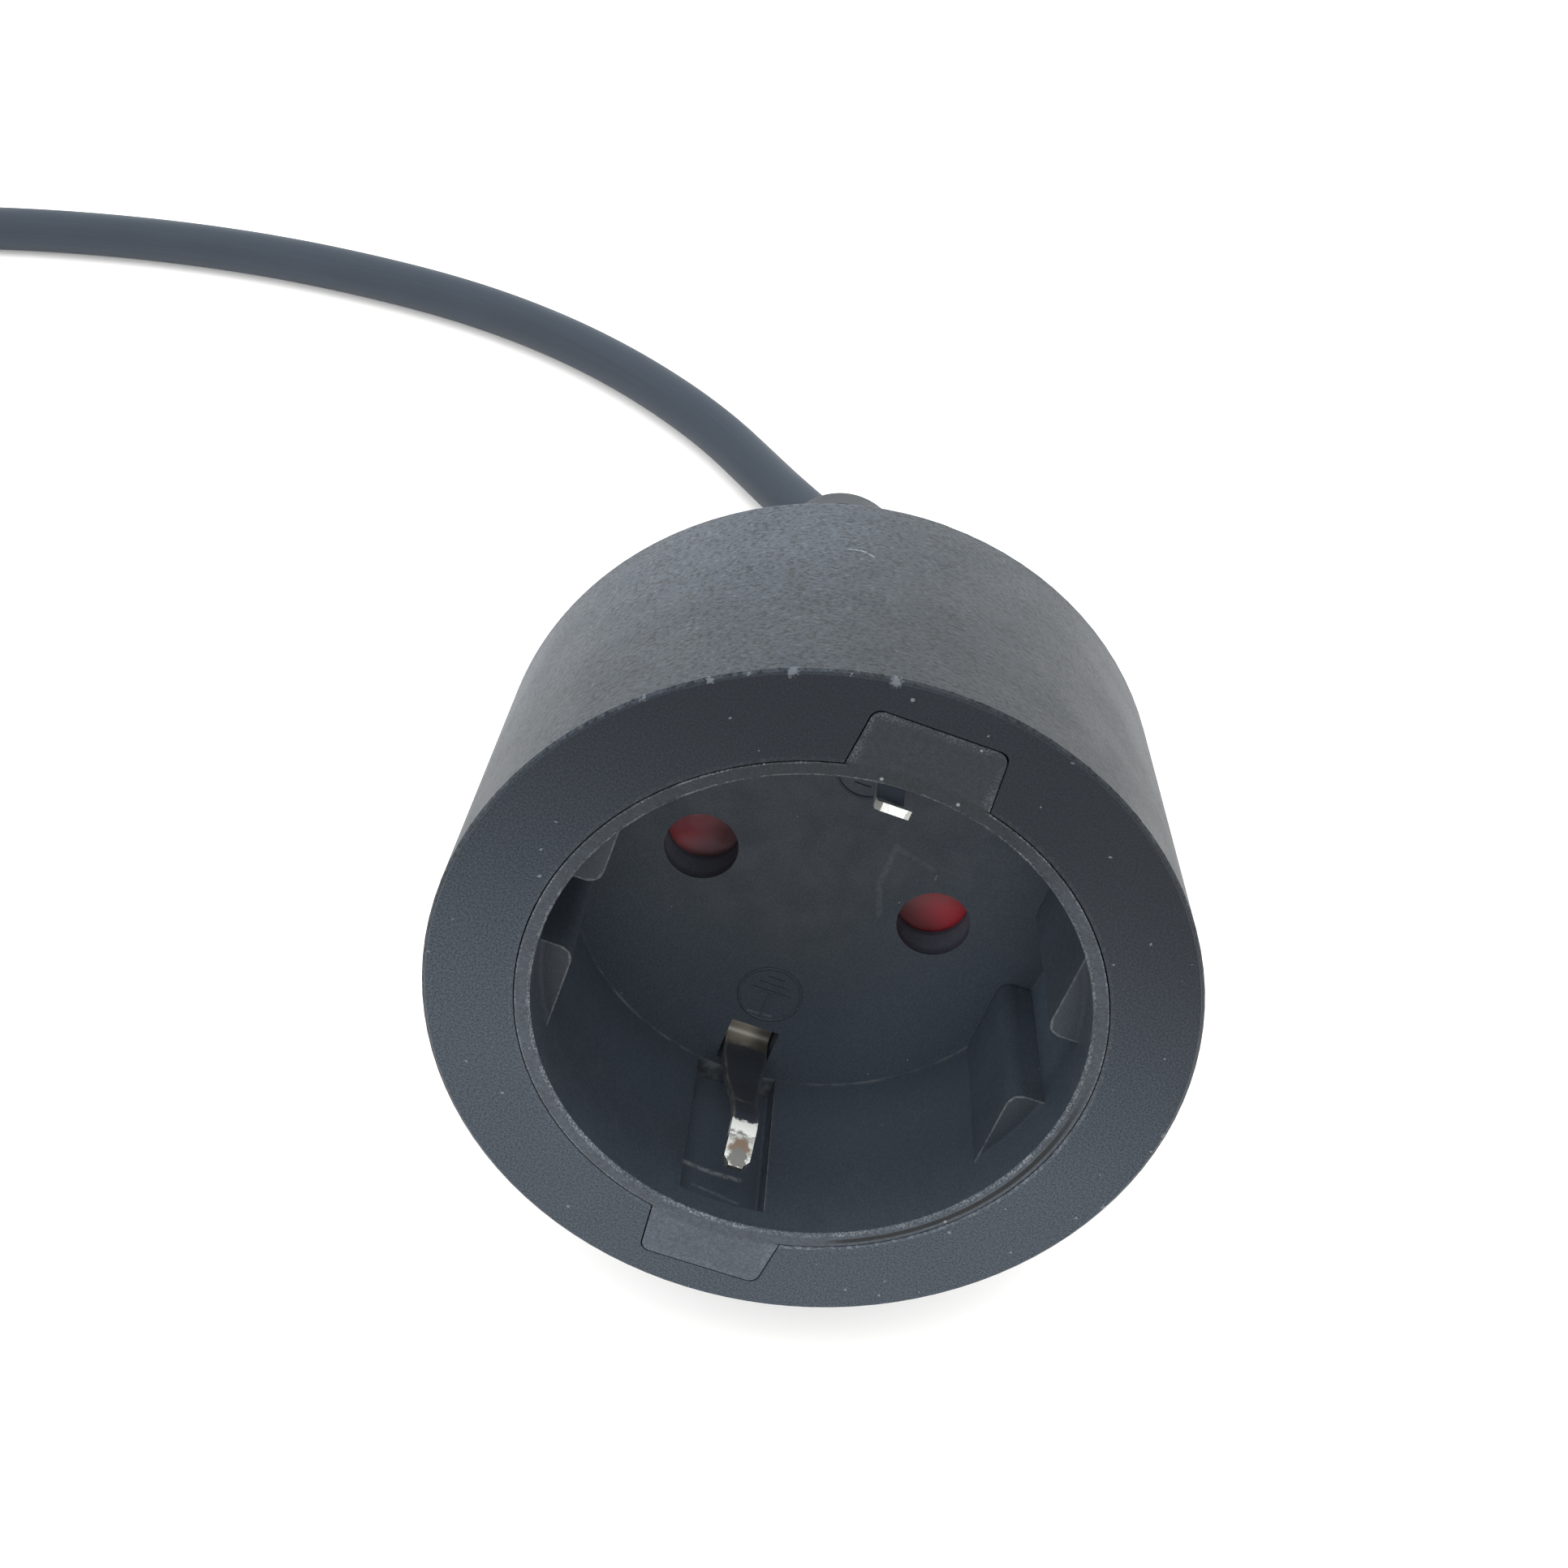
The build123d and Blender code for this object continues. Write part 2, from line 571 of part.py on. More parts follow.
def plug_core(x, y):
    """Core from a blade's barrel to the end of the sheath."""
    end_y = CORE_RISE if x == 0 else -CORE_DROP
    end_x = CORE_SPREAD if x > 0 else -CORE_SPREAD if x < 0 else 0
    path = core_path(x, y, PLUG_BARREL_END - CORE_GRIP, end_x, end_y, PLUG_TURN, PLUG_SHEATH_START)
    return rod(path, CORE_RADIUS, CORE_ROUND)


def resting_lean():
    """Angle at which the rounded rear rim and the rounded tail both touch the table."""
    run = TAIL_DISTANCE - TAIL_ROUND + BODY_EDGE
    rise = (BODY_RADIUS - BODY_EDGE) - (TAIL_RADIUS - TAIL_ROUND)
    return atan2(rise, run) - asin((TAIL_ROUND - BODY_EDGE) / hypot(run, rise))


LEAN = resting_lean()
BACK = Vector(0, cos(LEAN), -sin(LEAN))
RISE = Vector(0, sin(LEAN), cos(LEAN))
FRONT_Y = -(BODY_RADIUS - FACE_BREAK) * sin(LEAN)
REAR_Y = (TAIL_RADIUS - TAIL_ROUND) * sin(LEAN) + (TAIL_END - TAIL_ROUND) * cos(LEAN) + TAIL_ROUND
FACE_CENTRE = Vector(
    0,
    -(FRONT_Y + REAR_Y) / 2,
    (BODY_RADIUS - BODY_EDGE) * cos(LEAN) + (BODY_LENGTH - BODY_EDGE) * sin(LEAN) + BODY_EDGE,
)
PIN_LINE = Vector(1, 0, 0) * cos(radians(ROLL)) - RISE * sin(radians(ROLL))
COUPLER = Plane(origin=FACE_CENTRE, x_dir=PIN_LINE, z_dir=-BACK).location
PLUG = Plane(origin=(PLUG_MOUTH_X, PLUG_Y, PLUG_HEIGHT / 2), x_dir=(0, -1, 0), z_dir=(-1, 0, 0)).location


def cable_sheath():
    """Lead: straight in the coupler's bore, along its route, straight into the plug's bore."""
    plug_tail = Vector(PLUG_MOUTH_X + PLUG_LENGTH, PLUG_Y, PLUG_HEIGHT / 2)
    along = Vector(1, 0, 0)
    points = [
        FACE_CENTRE + BACK * SHEATH_START,
        FACE_CENTRE + BACK * (TAIL_END + EXIT_RUN),
        *[Vector(*point) for point in ROUTE],
        plug_tail + along * ENTRY_RUN,
        plug_tail - along * (PLUG_LENGTH - PLUG_SHEATH_START),
    ]
    radii = []
    for before, corner, after in zip(points, points[1:], points[2:]):
        turn = radians((corner - before).get_angle(after - corner))
        shorter = min((corner - before).length, (after - corner).length)
        radii.append(ARC_SHARE * shorter / tan(turn / 2))
    path = FilletPolyline(*points, radius=radii)
    tube = sweep(Plane(path @ 0, z_dir=path % 0) * Circle(CABLE_RADIUS), path=path)
    print("cord radii", [round(radius, 1) for radius in radii])
    print("cord length", round(path.length, 1), "volume ratio", tube.volume / (pi * CABLE_RADIUS**2 * path.length))
    return tube


os.makedirs("parts", exist_ok=True)
print("lean", round(degrees(LEAN), 2), "face centre", FACE_CENTRE)

contact = pin_contact()
coupler_pieces = {
    "coupler_housing": coupler_housing(),
    "socket_insert": socket_insert(),
    "contact_carrier": contact_carrier(),
    "shutter": shutter(),
    "shutter_spring": shutter_spring(),
    "line_contact": Pos(PIN_X, 0) * contact,
    "neutral_contact": Pos(-PIN_X, 0) * contact,
    "earth_contact": earth_contact(),
    "line_core": coupler_core(1),
    "neutral_core": coupler_core(-1),
    "earth_core": earth_core(),
}
plug_pieces = {"plug_housing": plug_housing(), "plug_insert": plug_insert()}
for name, (x, y) in BLADES.items():
    plug_pieces[name + "_pin"] = plug_blade(x, y)
    plug_pieces[name + "_core"] = plug_core(x, y)

for name, piece in coupler_pieces.items():
    export_step(COUPLER * piece, f"parts/{name}.step")
for name, piece in plug_pieces.items():
    export_step(PLUG * piece, f"parts/{name}.step")
export_step(cable_sheath(), "parts/cable_sheath.step")
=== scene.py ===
import json
from functools import cached_property
from math import cos, pi, radians, sin

import bpy
from bpy.props import FloatProperty, FloatVectorProperty, IntProperty, PointerProperty
from mathutils import Matrix, Vector


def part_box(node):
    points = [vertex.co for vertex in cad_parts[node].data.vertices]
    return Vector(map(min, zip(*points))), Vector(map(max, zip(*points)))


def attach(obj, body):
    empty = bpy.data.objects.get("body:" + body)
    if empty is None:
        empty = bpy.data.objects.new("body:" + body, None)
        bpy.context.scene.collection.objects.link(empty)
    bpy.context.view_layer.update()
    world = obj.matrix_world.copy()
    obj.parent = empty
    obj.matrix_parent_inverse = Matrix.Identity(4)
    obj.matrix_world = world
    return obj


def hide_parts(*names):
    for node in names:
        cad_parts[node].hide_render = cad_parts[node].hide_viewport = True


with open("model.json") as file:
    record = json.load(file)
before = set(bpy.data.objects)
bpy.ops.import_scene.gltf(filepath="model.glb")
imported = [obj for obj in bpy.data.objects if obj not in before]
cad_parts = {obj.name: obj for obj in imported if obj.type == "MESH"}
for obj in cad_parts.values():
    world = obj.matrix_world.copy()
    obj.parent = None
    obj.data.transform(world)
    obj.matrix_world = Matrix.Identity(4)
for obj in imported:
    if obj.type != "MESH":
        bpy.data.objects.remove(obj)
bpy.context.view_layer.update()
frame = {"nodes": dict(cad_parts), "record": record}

bl_info = {
    "name": "Earthed Coupler Lead",
    "version": (1, 0, 0),
    "blender": (4, 5, 0),
    "location": "3D View > Sidebar > Coupler",
    "description": "Finishes an earthed socket coupler on its short lead, and sets up its studio",
    "category": "Object",
}

COUPLER = "coupler"
MOUNTS = {mount["name"]: mount for mount in frame["record"]["mounts"]}


def pin_spacing():
    """Vector from the neutral pin hole to the line pin hole."""
    return Vector(MOUNTS["line_pin_hole"]["pos_m"]) - Vector(MOUNTS["neutral_pin_hole"]["pos_m"])


def socket_frame():
    """Matrix of the socket's own frame: x along the pins, y along the clips, z out of the face."""
    out = Vector(MOUNTS["socket"]["axis"]).normalized()
    across = pin_spacing()
    along = (across - across.dot(out) * out).normalized()
    matrix = Matrix((along, out.cross(along), out)).transposed().to_4x4()
    matrix.translation = Vector(MOUNTS["socket"]["pos_m"])
    return matrix


def floor_depth():
    """Depth of the recess's floor behind the face, where the pin holes start."""
    hole = MOUNTS["line_pin_hole"]
    middle = SOCKET.inverted() @ Vector(hole["pos_m"])
    return -middle.z - hole["dims"]["length_mm"] / 2000


SOCKET = socket_frame()
RECESS_DEPTH = floor_depth()
RECESS_FLOOR = -RECESS_DEPTH
PIN_X = pin_spacing().length / 2
BODY_RADIUS = (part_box("coupler_housing")[1][0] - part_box("coupler_housing")[0][0]) / 2

# Sizes of the socket's face and recess, in metres in the socket's own frame
RECESS_RADIUS = 0.01925
RING_RADIUS = 0.0203
TAB_HALF = 0.0047
TAB_REACH = 0.0240
GUIDE_DEPTH = 0.0037
CHANNEL_HALF = 0.0033
CHANNEL_BACK = -0.0207

# Sizes of an earth clip: half the width of its finger and of its strap, and the depths
# between which the finger widens into the strap
FINGER_HALF = 0.0010
STRAP_HALF = 0.0018
SHOULDER_START = 0.0098
SHOULDER_END = 0.0162

# Proportions of an earth sign: shares of its radius, the share of a bar's length by which
# each next bar is shorter, and the steps of its ring
FIRST_BAR = 0.1
BAR_STEP = 0.26
BAR_LENGTH = 1.3
STEM_LENGTH = 0.9
BAR_TAPER = 0.3
RING_STEPS = 64

# The lead's route, point by point as in the part: inside the coupler's neck, just past its
# tail, over the table, and into the plug's relief. The second point keeps it straight in
# the neck up to the tail.
LEAD_ROUTE = [
    (0.0, 0.017218, 0.015515),
    (0.0, 0.038055, 0.008205),
    (0.0, 0.044159, 0.006064),
    (-0.0026, 0.0501, 0.0044),
    (-0.0065, 0.0559, 0.00345),
    (-0.0104, 0.0616, 0.0030),
    (-0.0149, 0.0677, 0.00285),
    (-0.0210, 0.0742, 0.00285),
    (-0.0289, 0.0811, 0.00285),
    (-0.0387, 0.0879, 0.00285),
    (-0.0504, 0.0940, 0.00285),
    (-0.0636, 0.0989, 0.00285),
    (-0.0778, 0.1030, 0.00285),
    (-0.0925, 0.1058, 0.00285),
    (-0.1073, 0.1074, 0.00285),
    (-0.1224, 0.1078, 0.00285),
    (-0.1360, 0.1076, 0.00285),
    (-0.1510, 0.1073, 0.00285),
    (-0.1680, 0.1070, 0.0056),
    (-0.1850, 0.1070, 0.0103),
    (-0.2150, 0.1070, 0.0103),
]

# Fineness of the lead's curve along its route and round its section
LEAD_STEPS = 24
LEAD_ROUNDNESS = 10

# Wear, in the socket's own frame: nicks by their angle round the rim, in degrees, and
# scuffs as width, strength and the points that each one runs through. The edges of the
# guides are given for one guide and mirrored to all four.
RIM_NICKS = [117.4, 122.7, 111.4, 103.9, 132.2, 97.8, 71.0, 178.4, 173.6, -160.3, 1.2, -15.5, 33.0]
NICK_SIZES = (0.8, 1.3, 1.8)
NICK_HEIGHT = 0.0002
SIDE_SCUFFS = [
    (0.00010, 0.80, [
        (-0.0074, 0.0257, -0.0201), (-0.0064, 0.0259, -0.0200), (-0.0056, 0.0261, -0.0192),
    ]),
]
RECESS_SCUFFS = [
    (0.00035, 0.12, [
        (0.0043, 0.0055, RECESS_FLOOR), (0.0043, 0.0019, RECESS_FLOOR),
        (0.0053, -0.0008, RECESS_FLOOR),
    ]),
    (0.00030, 0.10, [(0.0046, 0.0053, RECESS_FLOOR), (0.0077, 0.0046, RECESS_FLOOR)]),
    (0.00009, 0.55, [(0.0081, 0.0042, RECESS_FLOOR), (0.0081, 0.0038, RECESS_FLOOR)]),
    (0.00010, 0.40, [(-0.0012, -0.0131, RECESS_FLOOR), (0.0008, -0.0130, RECESS_FLOOR)]),
    (0.00034, 0.75, [
        (-0.0030, CHANNEL_BACK, -0.0068), (-0.0006, CHANNEL_BACK, -0.0065),
        (0.0016, CHANNEL_BACK, -0.0066),
    ]),
    (0.00020, 0.28, [(-0.0019, CHANNEL_BACK, -0.0046), (0.0017, CHANNEL_BACK, -0.0040)]),
    (0.00012, 0.45, [(CHANNEL_HALF, -0.0190, -0.0022), (CHANNEL_HALF, -0.0190, -0.0160)]),
]
GUIDE_EDGES = [
    (0.00016, 0.40, [
        (0.0165, 0.0098, -GUIDE_DEPTH), (0.0165, 0.0041, -GUIDE_DEPTH), (0.0168, 0.0032, -GUIDE_DEPTH),
        (0.0176, 0.0029, -GUIDE_DEPTH), (0.0189, 0.0029, -GUIDE_DEPTH),
    ]),
]
# Crease on the strap, which gets a painted highlight
STRAP_CREASE = [(-0.0010, 0.0, -0.0094), (-0.0003, 0.0, -0.0090), (0.0005, 0.0, -0.0090)]
CREASE_WIDTH = 0.00025

# Stretches, from and to, over which finishes change, in the socket's own frame: across the middle, from
# the upper tab of the face to the lower one, where painted light makes the face and the ring paler, and
# away from a level
MIDDLE = (0.001, -0.001)
UPPER_TO_LOWER = (0.022, -0.012)
LEVEL_FADE = (0.0003, 0.0001)

# Stretches over which the overmould's finish changes: depths, places across and radii
OVERMOULD_SKIN = (-0.00018, -0.00004)
RELIEF_START = (-0.0300, -0.0320)
# Painted shade on the overmould's sides, darker towards the front and the right
SIDE_SHADE_DEPTH = (-0.026, -0.004)
SIDE_SHADE_ACROSS = (-0.016, 0.002)
# Painted highlight on a lip just outside the ring
LIP_RADIUS = (RING_RADIUS + 0.00042, RING_RADIUS + 0.00030)
LIP_LOW_RIGHT = (0.010, 0.026)
REAR_DEPTH = (-0.0288, -0.0291)
REAR_RADIUS = (BODY_RADIUS - 0.0006, BODY_RADIUS - 0.0003)

# Stretches over which the insert's finish changes: depths, places across, radii and
# distances from an edge
INSERT_SKIN = (-0.0004, -0.00005)
# These stretches also set where painted light makes the recess paler and painted shade darker: deep down,
# in the pin holes, on the right, in the channels, on the guides' tops and towards the floor's rim
INSIDE_RADIUS = (RECESS_RADIUS + 0.003, RECESS_RADIUS + 0.002)
WALL_DEPTH = (-0.002, RECESS_FLOOR)
HOLE_DEPTH = (RECESS_FLOOR, RECESS_FLOOR - 0.0015)
CHAMBER_DEPTH = (RECESS_FLOOR - 0.0024, RECESS_FLOOR - 0.0030)
RIGHT_WALL = (0.0165, 0.0185)
RIGHT_WALL_DEPTH = (-0.004, -0.008)
RIGHT_HALF = (0.0, 0.012)
CHANNEL_MOUTH = (RECESS_RADIUS + 0.0002, RECESS_RADIUS + 0.0004)
CHANNEL_WIDTH = (CHANNEL_HALF + 0.0002, CHANNEL_HALF)
CHANNEL_SIDE = (CHANNEL_HALF - 0.0003, CHANNEL_HALF - 0.0001)
GUIDE_RADIUS = (RECESS_RADIUS - 0.0002, RECESS_RADIUS - 0.0005)
GUIDE_HALVES = (-0.002, 0.002)
FLOOR_RADIUS = (0.006, 0.016)
CORNER_RADIUS = (RECESS_RADIUS - 0.00014, RECESS_RADIUS - 0.00006)
# Wear and a painted highlight along the chamfer at the recess's mouth
MOUTH_RADIUS = (RECESS_RADIUS + 0.00026, RECESS_RADIUS + 0.00016)
MOUTH_DEPTH = (-0.0004, -0.0002)
RING_EDGE = (RING_RADIUS - 0.00016, RING_RADIUS - 0.00008)
# Painted light makes the ring paler towards the right over the next stretch
RING_RIGHT = (0.006, 0.014)
RING_LOW_RIGHT = (0.014, 0.026)
# Painted shade of a groove in the ring, at its lower right
GROOVE_RIGHT = (0.007, 0.010)
GROOVE_INSIDE = (RING_RADIUS - 0.00066, RING_RADIUS - 0.00056)
GROOVE_OUTSIDE = (RING_RADIUS - 0.00020, RING_RADIUS - 0.00030)
TAB_CLEARANCE = (0.0, 0.0004)
TAB_RADIUS = (RING_RADIUS, RING_RADIUS + 0.0003)
TAB_EDGE = (0.0007, 0.0001)
TAB_OUTSIDE = (0.0, -0.0002)

# Directions in the face along which painted light brightens each half of the shutter out of its painted
# shade, and the one against which painted light makes it paler, with the stretches over which they do
LEFT_LIT_DIRECTION = (-0.889, 0.435, 0.0)
LEFT_LIT = (0.0060, 0.0088)
RIGHT_LIT_DIRECTION = (0.435, 0.889, 0.0)
RIGHT_LIT = (0.0014, 0.0045)
SHUTTER_UP = (-0.324, 0.946, 0.0)
LEFT_PAINTED_PALER = (0.0005, -0.0046)
RIGHT_PAINTED_PALER = (0.0005, -0.0020)

# Spots that plugs rub on the lower clip, how far they reach, and the stretches over which
# the clips' finish changes
GREY_SPOT = (0.0, 0.0, -0.0031)
GREY_REACH = (0.00080, 0.00060)
BROWN_SPOT = (0.0, 0.0, -0.0038)
BROWN_REACH = (0.00090, 0.00060)
BLOTCH_STRAY = 0.0002
# Painted highlight on the clips' tips, and tarnish with painted shade deeper down
MATT_HIGHLIGHT_DEPTH = (-0.0046, -0.0050)
TARNISH_SHADE_DEPTH = (-0.0057, -0.0060)
TARNISH_SHADE_END = (-0.0184, -0.0176)
ROOT_DEPTH = (-0.0168, -0.0180)
# Painted light across the clips' root, paler on the left
ROOT_LEFT = (0.0012, -0.0002)
# Painted highlights on the strap's edges, strongest on the left
STRAP_EDGE = (0.00022, 0.00010)
STRAP_LEFT = (0.0006, -0.0006)

# Heights over which painted light makes the lead paler towards the table
LEAD_HEIGHT = (0.0054, 0.0010)

# The values between which nearly all of a pattern lies
PATTERN_SPREAD = (0.3, 0.7)

# How far the edges of nicks and specks stray, and the scale of that pattern
NICK_STRAY = 0.0007
SPECK_STRAY = 0.0003
STRAY_SCALE = 4200.0

# Patterns as scale in cycles per metre, detail and roughness, and specks as cells per
# metre, size in cells and the share of cells that hold one
FINE_PATTERN = (7000.0, 2.0, 0.6)
OVERMOULD_CLOUD = (160.0, 2.0, 0.6)
SIDE_SPECKS = (640.0, 0.08, 0.12)
FACE_SPECKS = (380.0, 0.060, 0.25)
INSERT_CLOUD = (420.0, 3.0, 0.65)
INSERT_SPECKLE = (2400.0, 3.0, 0.7)
RECESS_SPECKS = (800.0, 0.09, 0.15)
RING_SPECKS = (400.0, 0.065, 0.16)
SHUTTER_CLOUD = (700.0, 3.0)
SHUTTER_GRAIN = 3000.0
CLIP_BLOTCH = (1600.0, 4.0, 0.7)
METAL_CLOUD = (1500.0, 4.0, 0.6)
CORE_CLOUD = (900.0, 2.0)
CORE_BANDS = 120.0
SHEATH_CLOUD = (90.0, 4.0, 0.6)
SHEATH_GRAIN = (2600.0, 3.0)

# Streaks of the sheath along it and round it
STREAK_STRETCH = (6.0, 60.0, 1.0)

# Roughness of bare metal, from its smoothest to its roughest places
PLATED = (0.20, 0.32)
DRAWN = (0.25, 0.40)
PRESSED = (0.28, 0.45)

# The direction from which most of the sky's light comes, and how far round it fades
SKY_BACK = (0.0, 0.8, 0.6)
SKY_FADE = (-0.8, 0.0)

# The camera's sensor in millimetres, and the nearest that it sees in metres
SENSOR_WIDTH = 36.0
NEAR_CLIP = 0.005


def tint(name, description, default):
    """Setting for a colour."""
    return FloatVectorProperty(
        name=name, description=description, default=default, subtype="COLOR", min=0, max=1)


def extent(name, description, default):
    """Setting for a length."""
    return FloatProperty(name=name, description=description, default=default, min=0, unit="LENGTH")


class MouldedFinish(bpy.types.PropertyGroup):
    """Soft black overmould of the coupler and the plug."""

    side_colour: tint("Side Colour", "Colour of the textured sides", (0.0300, 0.0355, 0.0445))
    face_colour: tint(
        "Face Colour", "Colour of the smooth front face and strain relief", (0.0052, 0.0072, 0.0110))
    # Paler colour that painted light gives the face lower down
    painted_light_colour: tint(
        "Painted Light Colour", "Colour of the face where painted light makes it paler lower down", (0.0305, 0.0374, 0.0472))
    # The grain's tips and nicks take this colour, and so does the painted highlight on the lip round the
    # ring
    speck_and_highlight_colour: tint(
        "Speck And Highlight Colour", "Colour of the grain's bright tips and of nicks", (0.240, 0.250, 0.270))
    grain_scale: FloatProperty(
        name="Grain Scale", description="Grains of the spark texture in a metre", default=2900.0, min=1)
    grain_depth: extent("Grain Depth", "Height of the spark texture", 0.00008)
    nick_size: extent("Nick Size", "Reach of a nick in the front rim", 0.00025)


class SocketFinish(bpy.types.PropertyGroup):
    """Hard black insert of the socket, and its red shutter."""

    wall_colour: tint("Wall Colour", "Colour of the recess", (0.0210, 0.0255, 0.0325))
    ring_colour: tint(
        "Ring Colour", "Colour of the ring and tabs in the face", (0.0095, 0.0115, 0.0145))
    # Paler colour that painted light gives the ring and tabs low down and on the right
    painted_light_colour: tint(
        "Painted Light Colour", "Colour of the ring and tabs where painted light makes them paler",
        (0.0375, 0.0430, 0.0520))
    # Colour of dusty grains, specks and scuffs, and also of painted light: the highlight along the
    # recess's mouth and the haze on the shutter
    dust_and_painted_light_colour: tint("Dust And Painted Light Colour", "Colour of dust and scuffs", (0.165, 0.170, 0.175))
    shutter_colour: tint("Shutter Colour", "Colour of the shutter", (0.36, 0.016, 0.024))


class MetalFinish(bpy.types.PropertyGroup):
    """Sheet metal of the clips, contacts and pins."""

    nickel_colour: tint("Nickel Colour", "Colour of the plating", (0.52, 0.50, 0.46))
    stain_colour: tint("Stain Colour", "Colour where the plating has browned", (0.125, 0.075, 0.047))
    root_colour: tint(
        "Root Colour", "Colour of the clips where they pass through the floor", (0.150, 0.130, 0.105))
    # Dark colour of the clips deep in the recess: tarnish, and a painted dark reflection of the recess
    tarnish_and_shade_colour: tint(
        "Tarnish And Shade Colour", "Colour of the clips deep in the recess", (0.0235, 0.0262, 0.0325))
    brass_colour: tint("Brass Colour", "Colour of the bare contacts", (0.62, 0.44, 0.17))
    steel_colour: tint("Steel Colour", "Colour of the spring wire", (0.50, 0.50, 0.49))


class CoreFinish(bpy.types.PropertyGroup):
    """Insulation of the cores."""

    line_colour: tint("Line Colour", "Colour of the line cores", (0.11, 0.045, 0.02))
    neutral_colour: tint("Neutral Colour", "Colour of the neutral cores", (0.02, 0.09, 0.32))
    earth_colour: tint("Earth Colour", "Colour of the earth cores", (0.06, 0.22, 0.03))
    stripe_colour: tint("Stripe Colour", "Colour of the stripes on the earth cores", (0.55, 0.48, 0.03))


class EarthSign(bpy.types.PropertyGroup):
    """Raised earth signs on the floor of the recess."""

    radius: extent("Radius", "Radius of the ring round the sign", 0.0025)
    line: extent("Line", "Width of the sign's lines", 0.00020)
    height: extent("Height", "How far the sign stands out of the floor", 0.00009)
    offset: extent("Offset", "Distance of the sign from the socket's axis", 0.0110)
    bars: IntProperty(name="Bars", description="Bars of the sign", default=3, min=1)


class LeadShape(bpy.types.PropertyGroup):
    """Round lead between the coupler and the plug."""

    diameter: extent("Diameter", "Outside of the sheath", 0.0056)
    length: extent("Length", "Length from the coupler's neck to the plug's", 0.265)
    colour: tint("Colour", "Colour of the sheath", (0.0246, 0.0290, 0.0370))


class StudioSetup(bpy.types.PropertyGroup):
    """Floor, lights and camera."""

    camera_place: FloatVectorProperty(
        name="Camera Place", description="Where the camera stands", subtype="TRANSLATION",
        default=(0.002091, -0.108297, 0.139024))
    camera_tilt: FloatProperty(
        name="Camera Tilt", description="Angle of the camera up from straight down", subtype="ANGLE",
        default=radians(41.559))
    camera_heading: FloatProperty(
        name="Camera Heading", description="Turn of the camera about the vertical", subtype="ANGLE",
        default=radians(3.099))
    lens: FloatProperty(
        name="Lens", description="Focal length on a sensor 36 mm wide", default=41.93, unit="CAMERA")
    floor_size: extent("Floor Size", "Width of the floor", 6.0)
    floor_colour: tint("Floor Colour", "Colour of the floor", (0.80, 0.735, 0.69))
    floor_glow: FloatProperty(
        name="Floor Glow", description="Light that the lit table gives off by itself", default=0.2, min=0)
    sky_colour: tint("Sky Colour", "Colour of the light from all round", (0.87, 0.95, 1.0))
    sky_strength: FloatProperty(
        name="Sky Strength", description="Light from above, from behind and from the sides",
        default=2.2, min=0)
    front_strength: FloatProperty(
        name="Front Strength", description="Light from low down in front", default=0.9, min=0)
    key_place: FloatVectorProperty(
        name="Key Place", description="Where the lamp over the object hangs", subtype="TRANSLATION",
        default=(0.05, 0.0, 0.80))
    key_power: FloatProperty(
        name="Key Power", description="Power of the lamp over the object", default=2.5, min=0,
        unit="POWER")
    key_size: extent("Key Size", "Width of the lamp over the object", 0.6)


class CouplerSettings(bpy.types.PropertyGroup):
    """All sizes and colours of the coupler lead."""

    moulding: PointerProperty(type=MouldedFinish)
    socket: PointerProperty(type=SocketFinish)
    metal: PointerProperty(type=MetalFinish)
    cores: PointerProperty(type=CoreFinish)
    sign: PointerProperty(type=EarthSign)
    lead: PointerProperty(type=LeadShape)
    studio: PointerProperty(type=StudioSetup)


class Wiring:
    """Adds nodes to a tree and wires them up."""

    def __init__(self, tree):
        self.tree = tree

    def feed(self, socket, value):
        if isinstance(value, bpy.types.NodeSocket):
            self.tree.links.new(value, socket)
        else:
            socket.default_value = value

    def add(self, kind, inputs=None, **settings):
        node = self.tree.nodes.new(kind)
        for key, value in settings.items():
            setattr(node, key, value)
        for socket, value in (inputs or {}).items():
            self.feed(node.inputs[socket], value)
        return node

    def math(self, operation, first, second=0.0, clamp=False):
        node = self.add("ShaderNodeMath", {0: first, 1: second}, operation=operation, use_clamp=clamp)
        return node.outputs[0]

    def combine(self, x=0.0, y=0.0, z=0.0):
        return self.add("ShaderNodeCombineXYZ", {"X": x, "Y": y, "Z": z}).outputs[0]

    def split(self, vector):
        parts = self.add("ShaderNodeSeparateXYZ", {"Vector": vector})
        return parts.outputs["X"], parts.outputs["Y"], parts.outputs["Z"]

    def vector(self, operation, first, second):
        node = self.add("ShaderNodeVectorMath", {0: first, 1: second}, operation=operation)
        return node.outputs["Value" if operation in ("DISTANCE", "DOT_PRODUCT") else "Vector"]

    def ramp(self, value, low, high, start=0.0, end=1.0):
        """Smooth change from start to end as the value goes from low to high."""
        node = self.add(
            "ShaderNodeMapRange",
            {"Value": value, "From Min": low, "From Max": high, "To Min": start, "To Max": end},
            interpolation_type="SMOOTHSTEP",
        )
        return node.outputs["Result"]


